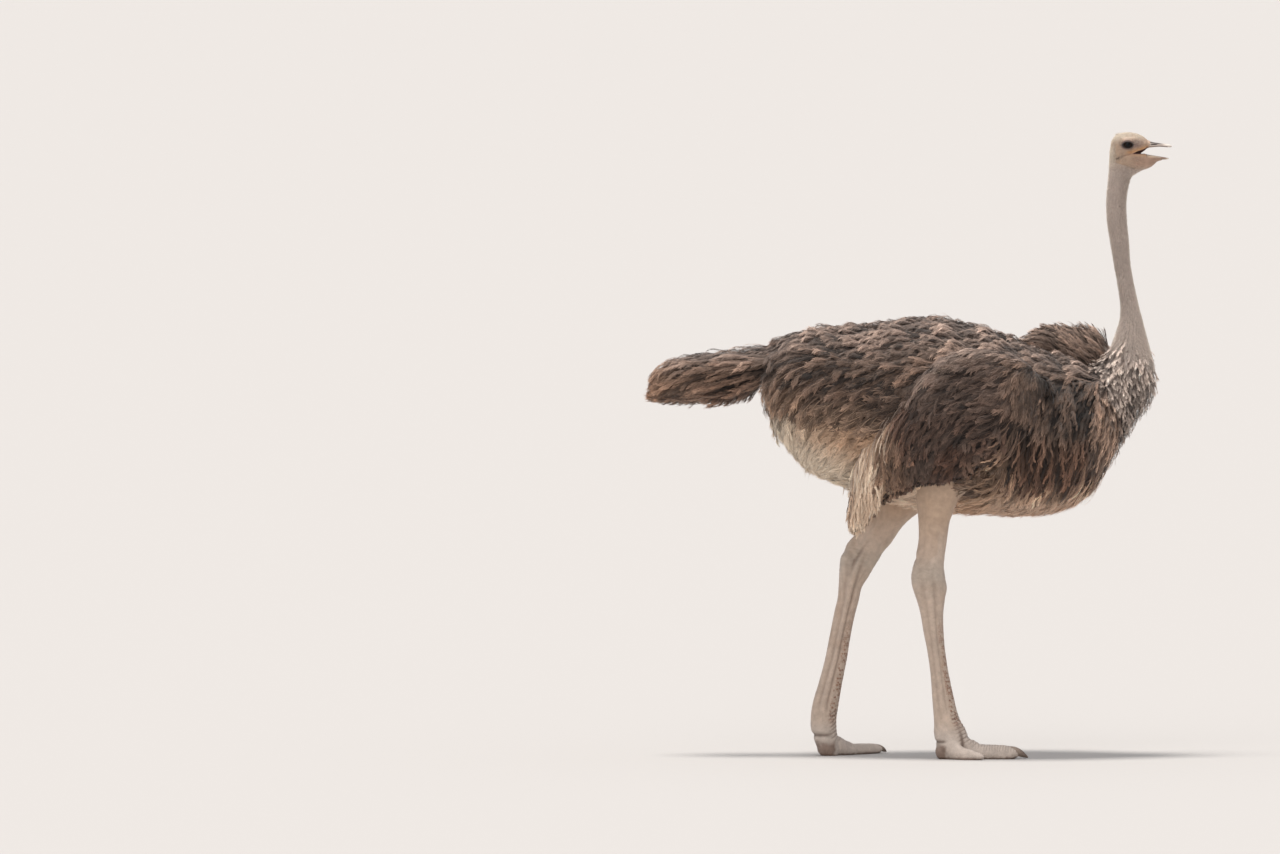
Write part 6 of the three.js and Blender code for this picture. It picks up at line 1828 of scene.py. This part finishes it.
def build_fuzz(coat):
    """Down of the neck, and bristles of the head."""
    many = 1.0
    r = np.random.default_rng(62)
    # roots anywhere, evenly enough by area
    def roots(row, s0, s1, count, seed, keep=None):
        q = np.random.default_rng(seed)
        ns, nf = 260, 120
        S, Fi = np.meshgrid(np.linspace(s0, s1, ns), np.linspace(0, 2 * math.pi, nf), indexing="ij")
        p = row.point(S, Fi)
        area = np.linalg.norm(np.cross(p[1:, :-1] - p[:-1, :-1], p[:-1, 1:] - p[:-1, :-1]), axis=-1)
        pick = q.choice(area.size, size=count, p=(area / area.sum()).ravel())
        i, j = np.divmod(pick, nf - 1)
        s = S[i, 0] + q.random(count) * (S[1, 0] - S[0, 0])
        f = Fi[0, j] + q.random(count) * (Fi[0, 1] - Fi[0, 0])
        if keep is not None:
            ok = keep(row.point(s, f))
            s, f = s[ok], f[ok]
        return s, f

    s, f = roots(BODY_ROW, 18.2, 29.8, int(110000 * many), 61)
    p, _, _, n = BODY_ROW.frame(s, f, 0.0)
    root = p - n * inset_body(s)[:, None] * 1.02
    c = len(s)
    L = inset_body(s) * (1.1 + 0.5 * r.random(c)) + 1.5
    lie = np.tile([0.05, 0.0, -1.0], (c, 1))
    low = smooth(20.5, 18.5, s)
    foot = mix(np.tile(rgb(188, 170, 160), (c, 1)), NECK_SKIN[None], 0.4 * low)
    end = np.tile(rgb(230, 217, 205), (c, 1)) * (1 + 0.08 * noise(p, 30, 87))[:, None]
    # painted rim light: down along the neck's front and rear outline, seen edge-on, is painted paler
    edge = smooth(0.5, 0.1, np.abs(n[:, 1]))
    end = mix(end, rgb(244, 236, 226)[None], 0.6 * edge)
    foot = mix(foot, rgb(206, 192, 180)[None], 0.5 * edge)
    hairs(coat, "neck_down", root, n, lie, L, (0.42 + 0.2 * r.random(c)) / math.sqrt(many), foot, end, map_of(s, f, 18, 30), 0.7, 0.75, 63, joints=False)

    # head: short bristles, longer on the crown and nape
    def keep_head(q):
        rho = np.hypot((q[:, 0] - EYE[0]) / LID_OPENING[0], (q[:, 2] - EYE[2]) / 9.0)
        eye = (rho < 1.38) & (np.abs(q[:, 1]) > 20)
        mouth = (q[:, 0] > 656) & (q[:, 2] > 1804) & (q[:, 2] < 1816 + 0.40 * (q[:, 0] - 660))
        u = np.random.default_rng(60).random(len(q))
        front = q[:, 0] > 724 - 0.6 * (1850 - q[:, 2]).clip(0, 30)
        front |= (q[:, 2] < 1812) & (u < smooth(672, 712, q[:, 0]))
        return ~(eye | mouth | front)

    s, f = roots(BODY_ROW, 29.4, 37.0, int(42000 * many), 64, keep_head)
    p, _, _, n = BODY_ROW.frame(s, f, 0.0)
    c = len(s)
    r = np.random.default_rng(65)
    crown = smooth(1838, 1862, p[:, 2]) * smooth(722, 700, p[:, 0])
    nape = smooth(622, 606, p[:, 0]) * smooth(1862, 1820, p[:, 2])
    big = np.clip(crown + 0.9 * nape, 0, 1)
    thin = r.random(c) < 0.38 + 0.62 * big
    s, f, p, n, crown, nape, big = (a[thin] for a in (s, f, p, n, crown, nape, big))
    c = len(s)
    root = p - n * (inset_body(s) * 1.1)[:, None]
    L = 3.0 + 1.6 * r.random(c) + big * (3.6 + 3.4 * r.random(c)) + inset_body(s) * 0.6
    lie = np.stack([-np.ones(c), np.zeros(c), -0.9 + 1.2 * crown], -1)
    colour = mix(rgb(160, 134, 112)[None], CREAM[None] * 0.85, 0.25 + 0.75 * big)
    hairs(coat, "head_down", root, n, lie, L, (0.34 + 0.18 * r.random(c)) / math.sqrt(many), colour, mix(rgb(206, 186, 164)[None], CREAM[None] * 1.2, big), map_of(s, f, 29, 37), 0.8, 0.42, 66, joints=False)
    # the tuft on the crown
    c = 110
    r = np.random.default_rng(67)
    base = np.array([629, 0, 1861.0]) + r.normal(0, 1, (c, 3)) * [5.0, 6, 1.0]
    n = unit(np.stack([-0.15 + 0.25 * r.normal(0, 1, c), 0.3 * r.normal(0, 1, c), np.ones(c)], -1))
    hairs(coat, "head_down", base, n, np.tile([-1.0, 0, 0.6], (c, 1)), 13 + 7 * r.random(c), np.full(c, 0.6), np.tile(CREAM * 0.8, (c, 1)), np.tile(CREAM, (c, 1)),
          np.stack([0.25 + 0.02 * r.random(c), 0.5 + 0.02 * r.random(c)], -1), 0.2, 1.2, 68)


def build_lashes(coat):
    r = np.random.default_rng(91)
    for side in (1, -1):
        for upper, count, length in ((True, 90, 6.5), (False, 50, 3.2)):
            a = np.linspace(0.10, math.pi - 0.10, count) + r.normal(0, 0.02, count)
            if not upper:
                a = -a
            ex, ez = (LID_OPENING[0] + 0.5) * np.cos(a), (9.0 + 0.5) * np.sin(a)
            R = EYE_R + LID * 0.8
            ey = np.sqrt(np.maximum(R**2 - ex**2 - ez**2, 1))
            p = np.stack([EYE[0] + 0.5 + ex, side * (EYE[1] + ey), EYE[2] - 0.4 + ez], -1)
            out = np.tile([0.0, side * 1.0, 0.0], (count, 1)) + np.stack([0.25 * np.cos(a), 0 * a, 0.10 * np.sin(a)], -1)
            lie = np.stack([0.9 * np.cos(a), 0 * a, -0.25 + 0 * a if upper else -0.8 + 0 * a], -1)
            L = length * (0.75 + 0.4 * r.random(count))
            hairs(coat, "lashes", p, unit(out), lie, L, np.full(count, 0.42), np.tile(rgb(30, 23, 20), (count, 1)), np.tile(rgb(18, 14, 12), (count, 1)),
                  np.stack([0.1 + 0.8 * np.linspace(0, 1, count), np.full(count, 0.3 + 0.2 * side + (0.1 if upper else 0))], -1), 0.5, 1.2, 92 + count, 0.05)


# ------------------------------------------------------------------ bill, eyes, claws
def build_bill(mat):
    up = loft_object("bill_upper_horn", Row(BILL_UPPER), 0, 6, 150, 72, lambda s: 0.15 + 0.9 * smooth(1.0, 0.3, s))
    # hollow of the roof, nostril slits and the groove they lie in
    combine(up, ellipsoid("roof", [728, 0, 1826.5], [44, 17, 7.5], 48, 24), "DIFFERENCE")
    for side in (1, -1):
        a = 0.10 * side
        t = [[math.cos(a), math.sin(a), 0], [-math.sin(a), math.cos(a), 0], [0, 0, 1]]
        combine(up, ellipsoid("nostril", [730.5, side * 21.5, 1839.2], [11.5, 6.5, 1.5], 32, 16, t), "DIFFERENCE")
    remesh(up, 0.7)
    relax(up, 2)
    p, n = coords(up), vertex_normals(up)
    x, y, z = p.T
    d = 0.35 * smooth(766, 772, x) - 0.5 * np.exp(-(((x - 765 + 0.02 * y**2) / 1.3) ** 2)) * smooth(0, 0.4, n[:, 2])
    d -= 0.8 * np.exp(-(((z - 1839.0) / 2.6) ** 2)) * smooth(756, 740, x) * smooth(0.3, 0.6, np.abs(n[:, 1]))
    d += 0.12 * noise(p * [0.3, 1, 1], 3.0, 95)
    p = p + n * d[:, None]
    set_coords(up, p)
    reduce_to(up, 26000)
    p, n = coords(up), vertex_normals(up)
    x, y, z = p.T
    c = np.tile(rgb(168, 154, 144), (len(p), 1)) * (1 + 0.06 * noise(p * [0.4, 1, 1], 6, 96))[:, None]
    c = mix(c, rgb(216, 206, 196)[None], smooth(752, 776, x))
    # painted highlight: the top of the upper bill is painted paler
    c = mix(c, rgb(206, 194, 182)[None], 0.85 * smooth(1839.5, 1843, z))
    c = mix(c, rgb(58, 48, 44)[None], 0.95 * smooth(1839.5, 1842.5, z + 0.10 * (x - 735)) * smooth(762, 744, x))
    c = mix(c, rgb(160, 128, 106)[None], 0.55 * smooth(1836, 1831, z) * smooth(770, 750, x))
    # painted shade in the groove the nostrils lie in
    c = mix(c, rgb(112, 98, 92)[None], 0.65 * np.exp(-(((z - 1838.6) / 2.6) ** 2)) * smooth(762, 742, x) * smooth(0.2, 0.5, np.abs(n[:, 1])))
    # painted shade in the nostril openings
    slit = np.exp(-(((x - 730.5) / 11.5) ** 6) - ((z - 1839.2) / 1.9) ** 4) * smooth(12, 15, np.abs(y)) * smooth(19.5, 17.5, np.abs(y) - 0.10 * (730 - x))
    c = mix(c, rgb(48, 36, 32)[None], np.clip(slit * 1.1, 0, 1))
    c = mix(c, MOUTH_IN[None], smooth(0.1, -0.4, n[:, 2]) * smooth(21, 15, np.abs(y)) * smooth(774, 768, x) * smooth(1834.5, 1833, z))
    paint(up, np.clip(c, 0.004, 1))
    lo = loft_object("bill_lower_horn", Row(BILL_LOWER), 0, 5, 130, 64, lambda s: 0.15 + 0.9 * smooth(1.0, 0.2, s))
    combine(lo, ellipsoid("trough", [724, 0, 1812], [46, 17.5, 11], 48, 24), "DIFFERENCE")
    remesh(lo, 0.7)
    relax(lo, 2)
    p, n = coords(lo), vertex_normals(lo)
    set_coords(lo, p + n * (0.12 * noise(p * [0.3, 1, 1], 3.0, 97))[:, None])
    reduce_to(lo, 20000)
    p, n = coords(lo), vertex_normals(lo)
    x, y, z = p.T
    c = np.tile(rgb(186, 166, 146), (len(p), 1)) * (1 + 0.06 * noise(p * [0.4, 1, 1], 6, 98))[:, None]
    c = mix(c, rgb(206, 192, 174)[None], smooth(752, 770, x))
    c = mix(c, rgb(120, 96, 82)[None], 0.7 * smooth(1800.5, 1797.5, z) * smooth(772, 760, x))
    inside = smooth(18.5, 16.5, np.abs(y)) * smooth(0.05, 0.3, n[:, 2]) * smooth(770, 764, x)
    c = mix(c, mix(MOUTH_IN[None], rgb(140, 96, 78)[None], smooth(735, 765, x)), inside)
    paint(lo, np.clip(c, 0.004, 1))
    for ob, nodes in ((up, "bill_upper"), (lo, "bill_lower")):
        ob.data.materials.clear()
        ob.data.materials.append(mat)
        for q in ob.data.polygons:
            q.use_smooth = True
        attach(ob, BODY_NAME)
        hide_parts(nodes)


def build_eyes():
    for side in (1, -1):
        name = "left" if side > 0 else "right"
        ob = ellipsoid("eyeball_" + name, EYE * [1, side, 1], [EYE_R] * 3, 64, 48, [[1, 0, 0], [0, 0, side], [0, -side, 0]])
        p = coords(ob)
        c = EYE * [1, side, 1]
        r = np.hypot(p[:, 0] - c[0], p[:, 2] - c[2])
        out = (p[:, 1] - c[1]) * side > 0
        p[:, 1] += np.where(out, side * 0.9 * np.exp(-((r / 8.5) ** 4)), 0)
        set_coords(ob, p)
        v = p - c
        me = ob.data
        n0 = me.polygons[0].normal
        if (np.array(n0) * v[me.polygons[0].vertices[0]]).sum() < 0:
            me.flip_normals()
        ob.data.materials.append(eye_material(side))
        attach(ob, BODY_NAME)
        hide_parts("eye_" + name)


def build_claws(mat):
    for name, foot in (("right", FOOT_RIGHT), ("left", FOOT_LEFT)):
        ob = loft_object("claw_horn_" + name, Row(CLAW, foot_place(*foot)), 0, 4, 60, 40, 0.1)
        p, n = coords(ob), vertex_normals(ob)
        lx, ly = foot_local(p, foot)
        d = 0.35 * noise(np.stack([lx * 0.35, ly, p[:, 2]], -1), 3.0, 101) + 0.25 * np.sin(lx * 1.1 + noise(p, 8, 102))
        d *= smooth(243, 232, lx)
        p = p + n * d[:, None]
        p[:, 2] *= toe_drop(p, foot)
        set_coords(ob, p)
        c = mix(rgb(150, 132, 118)[None], rgb(96, 80, 70)[None], smooth(205, 236, lx) * 0.9) * (1 + 0.12 * noise(np.stack([lx * 0.3, ly, p[:, 2]], -1), 3, 103))[:, None]
        paint(ob, np.clip(c, 0.004, 1))
        ob.data.materials.append(mat)
        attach(ob, BODY_NAME)
        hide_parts("claw_" + name)


# ------------------------------------------------------------------ put it together
skin = build_skin()
P, Nn = coords(skin), vertex_normals(skin)
tones, scaly = tone_skin(P, Nn)
paint(skin, tones)
att = skin.data.attributes.new("scaly", "FLOAT", "POINT")
att.data.foreach_set("value", scaly.astype(np.float32))
skin.data.materials.clear()
skin.data.materials.append(skin_material())
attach(skin, BODY_NAME)
FLESH = [n for n in frame["nodes"] if n.split("_")[0] in ("head", "neck", "trunk", "tail", "wing", "leg", "foot", "toe")]
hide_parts(*FLESH)

horn = horn_material("bill_horn", 0.9, 1.08, 0.55)
claw = horn_material("claw_horn", 0.8, 1.15, 0.55)
build_bill(horn)
build_eyes()
build_claws(claw)

coat = build_coat()
build_fuzz(coat)
build_lashes(coat)
pieces, triangles = coat.build(coat_material("plumage"))
print("coat triangles", triangles, "pieces", len(pieces))
skin.data.calc_loop_triangles()
print("skin triangles", len(skin.data.loop_triangles))

# ------------------------------------------------------------------ floor, light, camera
size = 3000.0
floor = new_mesh("floor", np.array([[-size, -size, 0], [size, -size, 0], [size, size, 0], [-size, size, 0]]), [np.array([[0, 1, 2, 3]])], False, in_mm=False)
fm, fnt, fb = material("floor", 0.9, 0.0, 0.0, 0.1)
fb.inputs["Base Color"].default_value = (0.50, 0.475, 0.455, 1)
floor.data.materials.append(fm)

world = bpy.data.worlds.new("studio")
bpy.context.scene.world = world
world.use_nodes = True
wn = world.node_tree
wb = wn.nodes["Background"]
wb.inputs["Strength"].default_value = 0.88
wc = wn.nodes.new("ShaderNodeTexCoord")
ws = wn.nodes.new("ShaderNodeSeparateXYZ")
wr = wn.nodes.new("ShaderNodeMapRange")
wm = wn.nodes.new("ShaderNodeMix")
wm.data_type = "RGBA"
wn.links.new(wc.outputs["Generated"], ws.inputs[0])
wn.links.new(ws.outputs["Z"], wr.inputs["Value"])
wr.inputs["From Min"].default_value, wr.inputs["From Max"].default_value = 0.0, 1.0
wn.links.new(wr.outputs[0], wm.inputs[0])
wm.inputs[6].default_value = (0.36, 0.36, 0.37, 1)
wm.inputs[7].default_value = (0.90, 0.92, 0.96, 1)
wn.links.new(wm.outputs[2], wb.inputs["Color"])


def sun(name, direction, energy, angle, colour=(1, 1, 1)):
    d = bpy.data.lights.new(name, "SUN")
    d.energy = energy
    d.angle = math.radians(angle)
    d.color = colour
    o = bpy.data.objects.new(name, d)
    o.rotation_euler = Vector(direction).to_track_quat("-Z", "Y").to_euler()
    bpy.context.scene.collection.objects.link(o)


sun("key", (0.12, 0.10, -1.0), 3.2, 14, (1.0, 0.975, 0.94))
sun("fill", (0.25, 0.9, -0.5), 0.75, 60, (1.0, 0.98, 0.96))

cam = bpy.data.cameras.new("camera")
cam.sensor_width = 36.0
DISTANCE = 45.0
cam.lens = 36.0 * DISTANCE / 3.84
cam.clip_end = 9000
camera = bpy.data.objects.new("camera", cam)
bpy.context.scene.collection.objects.link(camera)
bpy.context.scene.camera = camera
aim = Vector(metres([-810, 0, (757.5 - 427) * 3.0]))
elev = math.radians(1.75)
camera.location = aim + Vector((0, -DISTANCE * math.cos(elev), DISTANCE * math.sin(elev)))
camera.rotation_euler = (aim - camera.location).to_track_quat("-Z", "Y").to_euler()

scene = bpy.context.scene
scene.view_settings.view_transform = "Standard"
